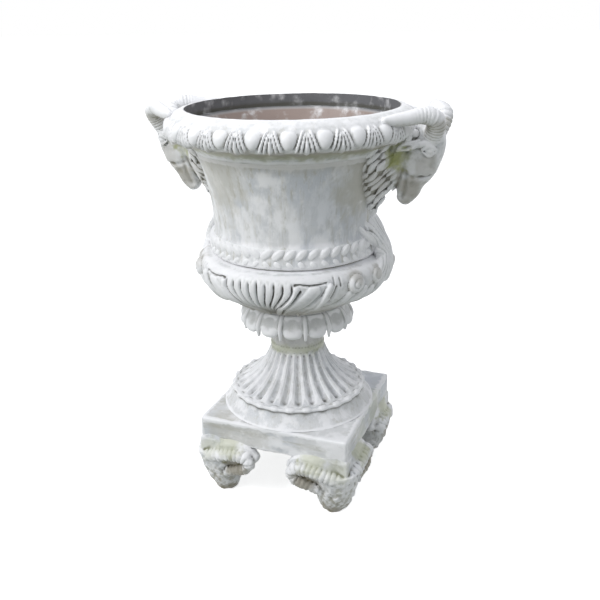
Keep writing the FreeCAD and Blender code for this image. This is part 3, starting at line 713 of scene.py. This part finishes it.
def makeLaurel():
    leaf = leafShape(laurel["length"], laurel["width"], laurel["swell"], laurel["crease"])
    spots, turns, sizes = [], [], []
    step = 90 / laurel["perQuadrant"]
    for height, lean, size in laurel["rows"]:
        share = (height - bell["bottom"]) / bell["bandHeight"]
        radius = bell["bandLow"] + (bell["bandTop"] - bell["bandLow"]) * share - laurel["embed"]
        for number in range(4 * laurel["perQuadrant"]):
            angle = math.radians(laurel["front"] + step * (number + 0.5))
            forward = 1 if (number // laurel["perQuadrant"]) % 2 == 0 else -1
            tilt = math.radians(-forward * (90 - lean))
            back = math.radians(-laurel["turnBack"])
            turn = (Matrix.Rotation(angle, 3, "Z") @ Matrix.Rotation(back, 3, "Y")
                    @ Matrix.Rotation(tilt, 3, "X"))
            spots.append((radius * math.cos(angle), radius * math.sin(angle), height))
            turns.append(turn.to_euler())
            sizes.append(size)
    piece = makePiece("laurel_band", spots, [])
    turn = piece.data.attributes.new("turn", "FLOAT_VECTOR", "POINT")
    turn.data.foreach_set("vector", np.array(turns, np.float32).ravel())
    setField(piece.data, "grow", sizes * np.random.default_rng(5).uniform(0.95, 1.05, len(spots)))
    runTree(piece, onSpots, {"Shape": leaf, "Size": 1.0, "Material": stoneCarved})
    bpy.data.objects.remove(leaf)
    finishStone(piece, stoneCarved, ["bowl_upper"], 0.3)


makeLaurel()
print("upper bowl made")


# Lower bowl: a fan of fingers, with acanthus and curls beside it.
lowerBowl = {
    "bays": 2, "columns": 390, "turn": -91,
    "bottom": 437, "height": 121, "foot": 110, "flank": (185, 48), "widest": (208, 97),
    "shoulder": (196, 4), "joint": 178, "wall": 23, "floor": 23, "floorRadius": 96,
    "bore": (166, 83), "rodHole": 8.3,
    "finger": 5.0,                        # degrees between two slits of the fan
    "fingers": 4, "slitDepth": 8,
    "fanRoot": 0.16, "fanSpreads": (6, 92),   # share of its width at the root, and where it opens
    # where the carving fades by radius and height, and its stretch of the outline
    "carvedFrom": (112, 124), "carvedHead": (550, 555), "carvedWay": (90, 300),
    "strokeRadius": 200,                      # at which degrees are turned to mm
    "acanthus": (
        (((5, 446), (12, 478), (18, 506), (22, 530)), 8, 5.5),
        (((9, 446), (19, 478), (27, 506), (32, 526)), 13, 5),
        (((13, 447), (24, 466), (32, 486), (38, 508)), 9, 5),
        (((24, 450), (31, 470), (37, 505), (41, 534)), 6, 8),
        (((30, 452), (43, 472), (50, 490), (54, 510)), 8, 6),
        (((40, 456), (54, 476), (61, 498), (64, 512)), 8, 6),
        (((52, 462), (65, 484), (71, 506)), 8, 6), (((64, 468), (76, 488), (83, 512)), 9, 6),
        (((18, 539), (24, 541), (31, 537), (39, 541)), 2.8, -4.5),
        (((8, 446), (15, 478), (21, 506), (24.5, 526)), 2.8, -7),
        (((25, 453), (33, 479)), 3, -6.5), (((36, 470), (42, 500), (45, 530)), 3, -6.5),
        (((40.5, 490), (42, 492)), 5.5, -9), (((43.5, 534), (43.5, 549)), 2.6, -3.5),
        (((47.5, 530), (47, 547)), 2.6, -3.5), (((46, 470), (53, 488), (57, 506)), 2.8, -5.5),
        (((58, 474), (65, 494), (67, 508)), 2.8, -5.5),
        (((70, 480), (77, 500), (79, 516)), 2.8, -5.5)),
    # degrees, height, radius and swell
    "curls": ((57.4, 527.5, 19.5, 12), (75, 530, 16, 9)),
}


# Distance (mm) from points to a line from (degree, height) to another.
def fromStroke(turn, height, first, last):
    radius = lowerBowl["strokeRadius"]
    side = np.radians(turn - first[0]) * radius
    rise = height - first[1]
    run = math.radians(last[0] - first[0]) * radius
    climb = last[1] - first[1]
    share = np.clip((side * run + rise * climb) / (run * run + climb * climb), 0, 1)
    return np.hypot(side - share * run, rise - share * climb)


# Carved strokes: each is ((degree, height), ...), half width and height in mm, below 0 for a cut.
def carvedStrokes(turn, height, strokes):
    raised, cut = 0, 0
    for line, wide, tall in strokes:
        away = 99
        for first, last in zip(line[:-1], line[1:]):
            away = np.minimum(away, fromStroke(turn, height, first, last))
        part = np.clip(1 - (away / wide) ** 2, 0, 1)
        raised = np.maximum(raised, tall * np.sqrt(part))
        cut = np.minimum(cut, tall * part)
    return raised + cut


def bowlRelief(degrees, radius, height, way):
    turn = np.abs(degrees)
    start, stop = lowerBowl["carvedWay"]
    outside = ease(radius, *lowerBowl["carvedFrom"]) * (1 - ease(height, *lowerBowl["carvedHead"]))
    outside = outside * (way > start) * (way < stop)
    level = height - lowerBowl["bottom"]
    # fan of fingers, drawn together towards its root under the bowl
    root = lowerBowl["fanRoot"]
    spread = root + (1 - root) * ease(level, *lowerBowl["fanSpreads"])
    place = turn / (lowerBowl["finger"] * spread)
    within = 1 - ease(place, lowerBowl["fingers"] + 0.05, lowerBowl["fingers"] + 0.25)
    part = np.abs(place - np.round(place))
    fade = 1 - ease(height, 531, 549 - 5 * np.abs(np.sin(np.round(place) * 1.7)))
    slit = np.clip(1 - part / (0.2 + 0.08 * ease(level, 90, 20)), 0, 1) ** 1.1
    fan = 2.4 * np.sqrt(np.clip(1 - (2 * (0.5 - part)) ** 2, 0, 1)) - lowerBowl["slitDepth"] * slit
    carved = within * fade * fan
    beside = ease(place, lowerBowl["fingers"] + 0.05, lowerBowl["fingers"] + 0.3)
    carved = carved + beside * carvedStrokes(turn, height, lowerBowl["acanthus"])
    for middle, rise, size, swell in lowerBowl["curls"]:
        side = np.radians(turn - middle) * lowerBowl["strokeRadius"]
        away = np.hypot(side, height - rise)
        dome = np.sqrt(np.clip(1 - (away / size) ** 2, 0, 1))
        twist = np.arctan2(height - rise, side)
        groove = 2.2 * np.clip(np.sin(twist + away * 0.55), 0, 1) ** 2 * (away < size)
        carved = np.where(away < size, np.maximum(carved, swell * dome - groove), carved)
    return outside * carved


def makeLowerBowl():
    shape = lowerBowl
    low = shape["bottom"]
    top = low + shape["height"]
    outline = [
        (shape["rodHole"], low, 0, 8), (shape["foot"], low, 0, 8),
        (shape["flank"][0], low + shape["flank"][1], 0.03, 2.2),
        (shape["widest"][0], low + shape["widest"][1], -0.14, 1.9),
        (shape["shoulder"][0], top - shape["shoulder"][1], -0.16, 2.4),
        (shape["joint"], top, 0, 5), (shape["joint"] - shape["wall"], top, 0, 8),
        (shape["bore"][0], low + shape["bore"][1], 0, 9),
        (shape["floorRadius"], low + shape["floor"], 0.12, 8),
        (shape["rodHole"], low + shape["floor"], 0, 9)]
    piece = ringPiece("lower_bowl", outline, shape["bays"], shape["columns"], bowlRelief,
                      shape["turn"], stoneCarved)
    # The marks darken round the curls. The band darkens the bowl's underside, partly as grime and
    # partly as painted shade.
    widest = shape["widest"][0]
    angles = np.radians([shape["turn"] + half + side * curl[0] for half in (0, 180)
                         for side in (1, -1) for curl in shape["curls"]])
    marks = [("earthAndShade", widest * math.cos(angle), widest * math.sin(angle), 540, 24, 0.4)
             for angle in angles]
    finishStone(piece, stoneCarved, ["bowl_lower"], 0.6, 50, marks, inside=168,
                bands=(("earthAndShade", 425, 446, 500, 0.6),))


makeLowerBowl()
print("lower bowl made")


# Petal collar, with a tongue between each two petals.
petals = {
    "count": 14, "turn": 3.8, "grain": 1.7,
    "bottom": 383, "height": 51, "root": 64, "top": 98, "bore": 24, "chamber": 72,
    "chamberDepth": 34,
    # distance from the axis, height, half depth, half width
    "petal": ((92, 430, 10, 19), (108, 424, 11, 22), (114, 409, 11, 25), (118.5, 395, 10, 19.5)),
    "dish": ((165, 0, 434), (53, 64, 42)), "dishSoft": 9,
    "tongue": ((88, 431, 8, 6.5), (108, 424, 8, 5.5), (121, 405, 7, 5), (121, 385, 4, 3)),
}


# Turned solid: below 0 between the inner and outer radius, which are given at every height.
def turnedField(clay, inner, outer, low, high):
    away = np.hypot(clay.x, clay.y)
    walls = np.maximum(away - outer, inner - away)
    return np.maximum(walls, np.maximum(low - clay.z, clay.z - high))


def sculptCollar():
    low = petals["bottom"]
    top = low + petals["height"]
    clay = Clay((-134, -134, low - 9), (134, 134, top + 3), petals["grain"])
    rise = ease(clay.z, low, top + 12) * 1.25
    outer = petals["root"] + (petals["top"] - petals["root"]) * np.clip(rise, 0, 1)
    hollow = petals["chamberDepth"]
    dome = np.sqrt(np.clip((clay.z - top + hollow) / hollow, 0, 1))
    inner = np.where(clay.z < top - hollow, petals["bore"],
                     petals["bore"] + (petals["chamber"] - petals["bore"]) * dome)
    core = turnedField(clay, inner, outer, low, top)
    away = np.hypot(clay.x, clay.y)
    turn = np.arctan2(clay.y, clay.x) - math.radians(petals["turn"])
    step = math.tau / petals["count"]
    for name, shift in (("petal", 0), ("tongue", 0.5)):
        part = (turn / step + shift + 0.5) % 1 - 0.5
        place = (away * np.cos(part * step), away * np.sin(part * step), clay.z)
        stations = [(reach, 0, height, depth, width)
                    for reach, height, depth, width in petals[name]]
        bar = clay.swept(stations, place=place)[0]
        if name == "petal":
            middle, radii = petals["dish"]
            form = carve(bar, clay.ball(middle, radii, place), petals["dishSoft"])
        else:
            form = blend(form, bar, 1.2)
    form = np.maximum(form, clay.z - top)
    form = np.maximum(form, (petals["chamber"] + 8) - away)
    return clay.mesh(blend(core, form, 2.5))


piece = solidPiece("petal_collar_stone", *sculptCollar())
# The bands paint shade, grey and bluish, on the collar's upper part under the bowl.
finishStone(piece, stoneCarved, ["petal_collar"], 0.35, 75,
            bands=(("shadeAndGreying", 400, 416, 450, 0.35), ("coolShade", 402, 420, 450, 0.4)))
print("collar made")


# Fluted stem.
stem = {
    "bays": 26, "columns": 24, "turn": 0, "bottom": 194, "bore": 24, "disc": 173,
    "slopeStart": -2.4,                       # from the bottom, so that the disc covers its bed
    "slope": 33.4, "scallop": 150, "scallopHeight": 7, "flare": 146, "flareHeight": 93,
    "neck": 59, "bead": 12, "neckHeight": 43, "fillet": 0.42, "fluteDepth": 0.095,
}


def stemRelief(degrees, radius, height, way):
    foot = stem["bottom"] + stem["slopeStart"] + stem["slope"] + stem["scallopHeight"]
    head = foot + stem["flareHeight"]
    place = np.abs(degrees) / (180 / stem["bays"])
    arch = ease(height, foot + 1 + 4 * place ** 2, foot + 8 + 6 * place ** 2)
    crown = 1 - ease(height, head - 9, head - 1)
    channel = np.clip(1 - (place / (1 - stem["fillet"])) ** 2, 0, 1) ** 0.8
    flutes = -np.minimum(stem["fluteDepth"] * radius, 10) * channel * arch * crown
    fillet = 3.0 * ease(place, 0.5, 1.0) * arch * crown
    edge = ease(height, foot - 8, foot - 3) * (1 - ease(height, foot, foot + 3))
    knobs = 3.6 * edge * ease(place, 0.3, 0.85) * (radius > stem["flare"] - 4)
    bead = head + stem["bead"]
    crumbs = 1.6 * lumps(np.abs(degrees) * 1.2, height, 0 * height, 4.5, 31)
    crumbs = crumbs * ease(height, head - 2, head + 2) * (1 - ease(height, bead - 2, bead + 3))
    return (radius > stem["neck"] - 5) * (flutes + fillet + knobs + crumbs)


def makeStem():
    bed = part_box("stem_bed")[1][0] / mm + 0.3
    slope = stem["bottom"] + stem["slopeStart"]
    scallop = slope + stem["slope"]
    foot = scallop + stem["scallopHeight"]
    head = foot + stem["flareHeight"]
    bead = head + stem["bead"]
    top = bead + stem["neckHeight"]
    outline = [
        (stem["bore"], stem["bottom"], 0, 9), (bed, stem["bottom"], 0, 9), (bed, slope, 0, 3),
        (stem["disc"], slope, 0, 3), (stem["scallop"], scallop, 0.07, 4),
        (stem["scallop"], foot, -0.2, 1.6), (stem["flare"], foot, 0, 2),
        (stem["neck"], head, 0.125, 2.2), (stem["neck"], bead, -0.22, 1.8),
        (stem["neck"], top, 0.03, 4), (stem["bore"], top, 0, 9)]
    piece = ringPiece("fluted_stem_stone", outline, stem["bays"], stem["columns"], stemRelief,
                      stem["turn"], stoneCarved)
    finishStone(piece, stoneCarved, ["fluted_stem"], 0.5,
                bands=(("algae", 314, 330, 350, 0.5), ("earthAndShade", 330, 350, 390, 0.3)))


makeStem()
print("stem made")


# Ram's heads. The right one is sculpted, and the left mirrors it.
head = {
    "grain": 1.7, "embed": 2,
    # x, z, half depth, half width
    "face": ((281, 829, 17, 17), (283, 810, 29, 29), (281, 786, 36, 34), (270, 752, 35, 31),
             (257, 722, 26, 24), (247, 693, 20, 19), (241, 681, 15, 16)),
    "neck": ((181, 692, 18, 24), (199, 728, 36, 34), (215, 760, 40, 36), (221, 786, 34, 32)),
    "mane": ((172, 642, 8, 14), (174, 668, 16, 33), (177, 698, 25, 56), (181, 730, 33, 75),
             (185, 760, 38, 86), (189, 790, 41, 88)),
    "cheek": ((266, 19, 750), (26, 15, 30)),
    # x, y, z, radius
    "jaw": ((252, 14, 733, 15), (237, 9, 704, 12), (232, 6, 685, 8)),
    "brow": ((305, 14, 806, 9), (295, 30, 799, 7), (275, 37, 794, 5)),
    "lidAbove": ((304, 27, 783, 2.6), (293, 35.5, 791, 3.6), (279, 36, 784, 2.6)),
    "lidBelow": ((303, 27, 779, 2.2), (292, 34.5, 772, 3.2), (280, 35, 779, 2.2)),
    "eye": ((291.5, 30, 781.5), (9, 8, 7.5)), "socket": ((292, 36, 781), (15, 8.5, 12)),
    "mouth": ((246, 28, 733, 3.2), (243, 24, 708, 3.6), (236, 18, 684, 3)),
    "fold": ((250, 30, 731, 3.4), (270, 30, 728, 4), (291, 16, 732, 3)),
    "nostril": ((263, 18, 693, 3), (256, 19, 687, 4)), "worn": 1.3,
    "ear": ((268, 34, 795, 8, 5), (254, 45, 792, 9.5, 5.5), (243, 51, 789, 7, 4.5),
            (234, 54, 784, 3, 2.5)),
    "earDip": ((262, 46.5, 794, 3), (250, 51.5, 791, 4), (242, 56, 788, 2.5)),
    "gap": ((230, 50, 786), (12, 15, 12)),
    "lockPitch": 12.5, "lockLength": 34, "lockDepth": 6.2, "lockLean": 40, "lockWave": (1.2, 47),
    # x, y, z, radius of the curls between the horns and behind the ears
    "curls": ((262, 30, 815, 9), (252, 41, 808, 8), (244, 27, 808, 9), (268, 12, 824, 10),
              (254, 12, 816, 10)),
}


def sculptHead():
    clay = Clay((150, -96, 634), (332, 96, 852), head["grain"])
    x, y, z = clay.x, clay.y, clay.z
    side = np.abs(y)
    onAxis = {name: [(px, 0, pz, depth, width) for px, pz, depth, width in head[name]]
              for name in ("face", "neck", "mane")}
    neck = blend(clay.swept(onAxis["neck"])[0], clay.swept(onAxis["mane"], margin=22)[0], 8)
    # locks of fleece slant up from the bell to the cheeks
    lean = math.radians(head["lockLean"])
    swing, length = head["lockWave"]
    slant = z * math.cos(lean) - (x - 200) * math.sin(lean) + 0.15 * side
    along = z * math.sin(lean) + (x - 200) * math.cos(lean)
    wobble = swing * np.sin(math.tau * along / length + side / 9) + 3.5 * lumps(x, y, z, 26, 11)
    slant = (slant + wobble) / head["lockPitch"]
    row = np.floor(slant)
    start = along / head["lockLength"] + 0.37 * row + 0.3 * np.sin(2.4 * row)
    half = 0.03 + 0.5 * np.abs(np.sin(np.pi * start)) ** 0.55
    lock = np.clip(1 - ((slant - row - 0.5) / half) ** 2, 0, 1) ** 0.6
    grown = ease(z, 640, 660) * ease(288 - x, 50, 86)
    neck = neck - head["lockDepth"] * (lock - 0.5) * grown
    form = blend(clay.swept(onAxis["face"])[0], neck, 7)
    for hand in (1, -1):
        def sided(name):
            return [(station[0], station[1] * hand, *station[2:]) for station in head[name]]

        def ball(name):
            (px, py, pz), radii = head[name]
            return clay.ball((px, py * hand, pz), radii)

        form = blend(form, ball("cheek"), 9)
        form = blend(form, clay.bar(*sided("jaw")), 5)
        form = blend(form, clay.bar(*sided("brow")), 6)
        form = carve(form, ball("socket"), 4)
        form = blend(form, ball("eye"), 1)
        form = blend(form, clay.bar(*sided("lidAbove")), 2.5)
        form = blend(form, clay.bar(*sided("lidBelow")), 2.5)
        for groove in ("mouth", "fold", "nostril"):
            form = carve(form, clay.bar(*sided(groove)), 6)
        form = carve(form, ball("gap"), 5)
        ear = clay.bar(*sided("ear"), sideways=(0.25, 0.93 * hand, 0.27))
        form = blend(form, carve(ear, clay.bar(*sided("earDip")), 3), 4)
        for px, py, pz, radius in head["curls"]:
            away = np.sqrt((x - px) ** 2 + (y - py * hand) ** 2 + (z - pz) ** 2)
            twist = np.arctan2(z - pz, x - px)
            form = blend(form, away - radius - 1.3 * np.sin(away * 1.2 - twist * hand), 3)
    form = form - head["worn"] * lumps(x, y, z, 13, 37)
    return clay.mesh(np.maximum(form, bowlRadius(z) - head["embed"] - np.hypot(x, y)))


# The grey marks paint shade on the sides of the neck where they meet the bell.
headStainsAndShade = [(kind, px, hand * py, *rest) for hand in (1, -1) for kind, px, py, *rest in (
    ("earthAndShade", 255, 24, 702, 46, 0.6), ("algae", 232, 45, 768, 34, 0.9),
    ("earthAndShade", 285, 26, 750, 40, 0.35), ("shadeAndGreying", 195, 60, 720, 80, 0.7),
    ("earthAndShade", 190, 62, 720, 60, 0.25))]
bothSides = {"right": (), "left": (0,)}
mirroredPieces("ram_head", bothSides, sculptHead(), headStainsAndShade)
print("heads made")


# Horns, sculpted once for the right-hand back.
horn = {
    "grain": 1.5,
    # x, y, z, radius
    "line": ((294, 20, 806, 18), (303, 33, 830, 18), (301, 46, 846, 17), (283, 60, 851, 15.5),
             (262, 76, 848, 13.5), (241, 94, 847, 10.5), (224, 112, 848, 6.5)),
    "ribPitch": 7, "ribDepth": 2.4, "ribEnd": 150, "keel": 1.6,
}


def sculptHorn():
    clay = Clay((206, -2, 776), (328, 126, 880), horn["grain"])
    field, way = clay.swept([(*station, station[3]) for station in horn["line"]], finer=8)
    fade = 1 - ease(way, horn["ribEnd"] * 0.1, horn["ribEnd"])
    field = field - horn["ribDepth"] * (ridges(way, horn["ribPitch"]) - 0.6) * fade
    twist = lumps(clay.x, clay.y, clay.z, 24, 19)
    field = field - horn["keel"] * twist * ease(way, 30, 70)
    return clay.mesh(field)


hornSides = {"right_back": (), "right_front": (1,), "left_back": (0,), "left_front": (0, 1)}
# Both bands darken the horns' lower sides as painted shade.
mirroredPieces("horn", hornSides, sculptHorn(),
               bands=(("shadeAndGreying", 790, 826, 846, 0.9), ("earthAndShade", 800, 834, 845, 0.4)))
print("horns made")


# Acanthus leaf under each handle.
leaf = {
    "grain": 1.7, "embed": 2,
    # x, y, z, half depth, half width
    "stalk": ((203, 0, 508, 8, 22), (201, 0, 534, 15, 40), (198, 0, 558, 18, 26),
              (192, 0, 578, 19, 25), (181, 0, 602, 15, 34), (172, 0, 622, 12, 30),
              (167, 0, 638, 9, 14)),
    "lobes": (((190, 12, 585, 10), (180, 36, 600, 9), (166, 52, 618, 6), (158, 56, 630, 3)),
              ((180, 12, 604, 9), (170, 30, 622, 7), (162, 38, 638, 4)),
              ((201, 14, 556, 11), (199, 32, 544, 11), (198, 46, 532, 8), (196, 50, 522, 4)),
              ((203, 12, 536, 10), (202, 28, 518, 9), (198, 36, 504, 5))),
    "waist": 566, "veinRoot": 34, "veinSpread": 70, "veinPitch": 8.5, "veinDepth": 3,
}


def sculptLeaf():
    clay = Clay((148, -68, 492), (228, 68, 650), leaf["grain"])
    form = clay.swept(leaf["stalk"])[0]
    for lobe in leaf["lobes"]:
        for hand in (1, -1):
            stations = [(px, py * hand, pz, size) for px, py, pz, size in lobe]
            form = blend(form, clay.bar(*stations), 4)
    side = np.abs(clay.y)
    # veins draw together at the waist
    fan = leaf["veinSpread"] * np.arctan2(side, np.abs(clay.z - leaf["waist"]) + leaf["veinRoot"])
    form = form - leaf["veinDepth"] * (ridges(fan, leaf["veinPitch"]) - 0.6) * ease(side, 3, 9)
    return clay.mesh(form + 2.5 * (1 - ease(side, 0, 3.2)))


mirroredPieces("handle_leaf", bothSides, sculptLeaf())
print("leaves made")


# Plinth.
plinth = {"grain": 2.2, "side": 344, "bottom": 133, "thickness": 58, "round": 5, "bore": 24}


def sculptPlinth():
    half, low, high = plinth["side"] / 2, plinth["bottom"], plinth["bottom"] + plinth["thickness"]
    clay = Clay((-half - 8, -half - 8, low - 8), (half + 8, half + 8, high + 8), plinth["grain"])
    block = clay.box((-half, -half, low), (half, half, high), plinth["round"])
    return clay.mesh(np.maximum(block, plinth["bore"] - np.hypot(clay.x, clay.y)))


# The bluish marks paint shade on the right face and on the right of the top; the grey marks darken
# the left of the front face.
plinthStainsAndShade = [("algae", 176, 40, 160, 60, 0.3), ("algae", 176, -60, 150, 50, 0.25),
                ("coolShade", 150, 120, 191, 90, 0.6), ("coolShade", 174, 0, 175, 90, 0.5),
                ("shadeAndGreying", -60, -172, 150, 80, 0.4), ("shadeAndGreying", -120, -172, 180, 60, 0.5)]
piece = solidPiece("plinth_block_stone", *sculptPlinth())
finishStone(piece, stonePlinth, ["plinth_block"], 0.9, 75, plinthStainsAndShade)
print("plinth made")


# Feet: a small ram's head under each corner, with a curled horn along both faces.
foot = {
    "grain": 1.6, "top": 130, "blockSide": 104, "blockHeight": 34, "setback": -0.7, "sole": 0.4,
    # distance in from the plinth's corner along the diagonal, height, half depth, half width
    "face": ((57, -4, 15, 16), (56, 10, 25, 28), (54, 26, 33, 37), (50, 44, 38, 42),
             (46, 70, 44, 45), (44, 92, 47, 46), (45, 114, 53, 46)),
    # along the face from the corner, out from the face, height, radius
    "scroll": ((16, 2, 98, 13), (34, 8, 104, 14), (62, 12, 112, 14), (92, 13, 117, 14),
               (113, 12, 113, 14),
               (120, 12, 100, 12.5), (112, 11, 87, 12), (92, 9, 77, 11), (72, 6, 69, 10),
               (58, 0, 62, 9)),
    "backing": ((30, -5, 88, 12), (70, -5, 90, 12), (108, -3, 96, 10)),
    "shoulder": ((8, -10, 98, 9), (30, -9, 111, 15), (66, -8, 126, 22), (104, -8, 123, 20),
                 (128, -7, 110, 12)),
    "forehead": ((12, 96, 16), (22, 82, 22), (34, 62, 24)), "cornerEnd": 108,
    "ribPitch": 10.5, "ribDepth": 2.8, "rough": 2.2, "overlap": 4, "lip": 10,
}


def sculptFoot():
    corner = plinth["side"] / 2
    clay = Clay((corner - 150, -corner - 36, -2), (corner + 36, -corner + 150, 156), foot["grain"])
    x, y, z = clay.x, clay.y, clay.z
    slope = math.sqrt(0.5)
    face = [(corner - inset * slope, -corner + inset * slope, height, depth, width)
            for inset, height, depth, width in foot["face"]]
    form = clay.swept(face, (slope, slope, 0))[0]
    brow = [(corner - inset * slope, -corner + inset * slope, height, size)
            for inset, height, size in foot["forehead"]]
    form = blend(form, clay.bar(*brow), 8)
    # the plinth's corner edge runs on down the foot
    form = carve(form, np.maximum(foot["cornerEnd"] - z, corner - np.maximum(x, -y)), 4)
    stop = corner - foot["setback"]
    start = stop - foot["blockSide"]
    block = clay.box((start, -stop, foot["top"] - foot["blockHeight"]),
                     (stop, -start, foot["top"] + foot["lip"]), 3)
    form = blend(form, block, 10)

    def onFace(name, first):
        return [((corner - along, -corner - proud) if first else (corner + proud, -corner + along))
                + (height, radius, radius) for along, proud, height, radius in foot[name]]

    for first in (True, False):
        form = blend(form, clay.bar(*onFace("backing", first)), 6)
        bar, way = clay.swept(onFace("scroll", first), (0, 0, 1), finer=8)
        ribs = ridges(way + 3 * lumps(x, y, z, 19, 29), foot["ribPitch"])
        bar = bar - foot["ribDepth"] * (ribs - 0.6)
        form = blend(form, bar, 2.5)
        form = blend(form, clay.bar(*onFace("shoulder", first)), 5)
    crust = lumps(x, y, z, 10, 23) + 0.6 * lumps(x, y, z, 5, 24)
    form = form - foot["rough"] * crust * (1 - ease(z, 96, 124))
    under = np.maximum(foot["top"] - z, np.maximum(x, -y) - corner + foot["overlap"])
    form = np.maximum(form, -under)
    return clay.mesh(np.maximum(form, foot["sole"] - z))


# The last mark darkens the lower part of each foot.
footStainsAndShade = [("algae", 100, -184, 138, 44, 0.45), ("algae", 150, -180, 120, 40, 0.3),
              ("algae", 184, -100, 138, 44, 0.5), ("earthAndShade", 128, -150, 8, 44, 0.9),
              ("earthAndShade", 80, -184, 84, 44, 0.8), ("earthAndShade", 184, -80, 84, 44, 0.8),
              ("shadeAndGreying", 140, -150, 40, 66, 0.9)]
footSides = {"front_right": (), "front_left": (0,), "back_right": (1,), "back_left": (0, 1)}
mirroredPieces("foot", footSides, sculptFoot(), footStainsAndShade)
print("feet made")


# Mortar beds and steel fixings keep the CAD's own solids.
# Lime mortar pressed in by hand is dull, sandy and darker than the paint. Hot-dip galvanised steel
# is grey zinc with faint crystal patches.
fixings = {
    "mortar": {
        "name": "lime mortar, raked by hand", "tones": ("#85847c", "#b4b3aa"),
        "roughness": (0.82, 0.97), "bump": (0.6, 0.8), "shader": {"IOR": 1.5}},
    "galvanised_steel": {
        "name": "steel, hot-dip galvanised", "tones": ("#8b8f92", "#b4b8ba"),
        "roughness": (0.34, 0.52), "bump": (0.1, 0.3), "shader": {"Metallic": 1.0}},
}


def fixingMaterial(finish):
    material, tree = newMaterial(finish["name"])
    place = addNode(tree, "ShaderNodeTexCoord").outputs["Object"]
    if "Metallic" in finish["shader"]:
        spangle = addNode(tree, "ShaderNodeTexVoronoi", {"Vector": place, "Scale": 160})
        split = addNode(tree, "ShaderNodeSeparateColor", {0: spangle.outputs["Color"]})
        grain = tone = split.outputs[0]
    else:
        grain, tone = [addNode(tree, "ShaderNodeTexNoise", {
            "Vector": place, "Scale": scale, "Detail": detail}).outputs["Fac"]
            for scale, detail in ((420, 4), (28, 3))]
    dark, pale = (colour(code) for code in finish["tones"])
    tint = addNode(tree, "ShaderNodeMix", {0: tone, 6: dark, 7: pale}, data_type="RGBA")
    low, high = finish["roughness"]
    rough = addNode(tree, "ShaderNodeMapRange", {"Value": grain, "To Min": low, "To Max": high})
    strength, depth = finish["bump"]
    bump = addNode(tree, "ShaderNodeBump", {
        "Height": grain, "Strength": strength, "Distance": depth * mm})
    shader = addNode(tree, "ShaderNodeBsdfPrincipled", {
        "Base Color": tint.outputs[2], "Roughness": rough.outputs[0],
        "Normal": bump.outputs[0], **finish["shader"]})
    addNode(tree, "ShaderNodeOutputMaterial", {"Surface": shader.outputs[0]})
    return material


def dressFixings():
    finishes = {slot: fixingMaterial(finish) for slot, finish in fixings.items()}
    for row in frame["record"]["subparts"]:
        finish = finishes.get(row["material_slot"])
        if finish:
            mesh = frame["nodes"][row["node"]].data
            mesh.materials.clear()
            mesh.materials.append(finish)


dressFixings()
print("mortar and steel dressed")


# Light, floor and backdrop.
light = {
    "sky": 0.62, "floorGlow": 0.72, "floorHalf": 30000,
    # watts, size, spot and aim in metres
    "lamps": {"overhead": (17, 2.2, (-0.3, -0.2, 2.9), (0, 0, 0.5)),
              "key": (43, 1.4, (-1.5, -2.0, 2.3), (0, 0, 0.55)),
              "fill": (2, 1.6, (2.2, -1.0, 1.2), (0, 0, 0.5))},
}


def addLamp(name, watts, size, spot, aim):
    lamp = bpy.data.objects.new(name, bpy.data.lights.new(name, "AREA"))
    lamp.data.energy = watts
    lamp.data.size = size
    lamp.location = spot
    lamp.rotation_euler = (Vector(aim) - Vector(spot)).to_track_quat("-Z", "Y").to_euler()
    bpy.context.scene.collection.objects.link(lamp)


def seenDirectly(tree):
    path = addNode(tree, "ShaderNodeLightPath").outputs
    first = addNode(tree, "ShaderNodeMath", {0: path["Is Camera Ray"], 1: path["Is Glossy Ray"]},
                    operation="MAXIMUM")
    both = addNode(tree, "ShaderNodeMath", {0: first.outputs[0], 1: path["Is Transmission Ray"]},
                   operation="MAXIMUM")
    return both.outputs[0]


def makeLight():
    for name, lamp in light["lamps"].items():
        addLamp(name, *lamp)
    world = bpy.data.worlds.new("sky")
    world.use_nodes = True
    tree = world.node_tree
    tree.nodes.clear()
    seen = seenDirectly(tree)
    dim = addNode(tree, "ShaderNodeBackground", {
        "Color": colour("#eef1f6"), "Strength": light["sky"]})
    white = addNode(tree, "ShaderNodeBackground", {"Color": colour("#ffffff"), "Strength": 1.0})
    mix = addNode(tree, "ShaderNodeMixShader", {0: seen, 1: dim.outputs[0], 2: white.outputs[0]})
    addNode(tree, "ShaderNodeOutputWorld", {"Surface": mix.outputs[0]})
    bpy.context.scene.world = world


def makeFloor():
    material, tree = newMaterial("pale studio floor")
    seen = seenDirectly(tree)
    bounce = addNode(tree, "ShaderNodeBsdfDiffuse", {"Color": colour("#8f948b")})
    sweep = addNode(tree, "ShaderNodeBsdfDiffuse", {"Color": colour("#f6f6f6")})
    glow = addNode(tree, "ShaderNodeEmission", {
        "Color": colour("#ffffff"), "Strength": light["floorGlow"]})
    lit = addNode(tree, "ShaderNodeAddShader", {0: sweep.outputs[0], 1: glow.outputs[0]})
    mix = addNode(tree, "ShaderNodeMixShader", {0: seen, 1: bounce.outputs[0], 2: lit.outputs[0]})
    addNode(tree, "ShaderNodeOutputMaterial", {"Surface": mix.outputs[0]})
    half = light["floorHalf"]
    corners = [(-half, -half, 0), (half, -half, 0), (half, half, 0), (-half, half, 0)]
    floor = makePiece("floor", corners, [(0, 1, 2, 3)])
    floor.data.materials.append(material)


makeLight()
makeFloor()
bpy.context.scene.view_settings.view_transform = "Standard"
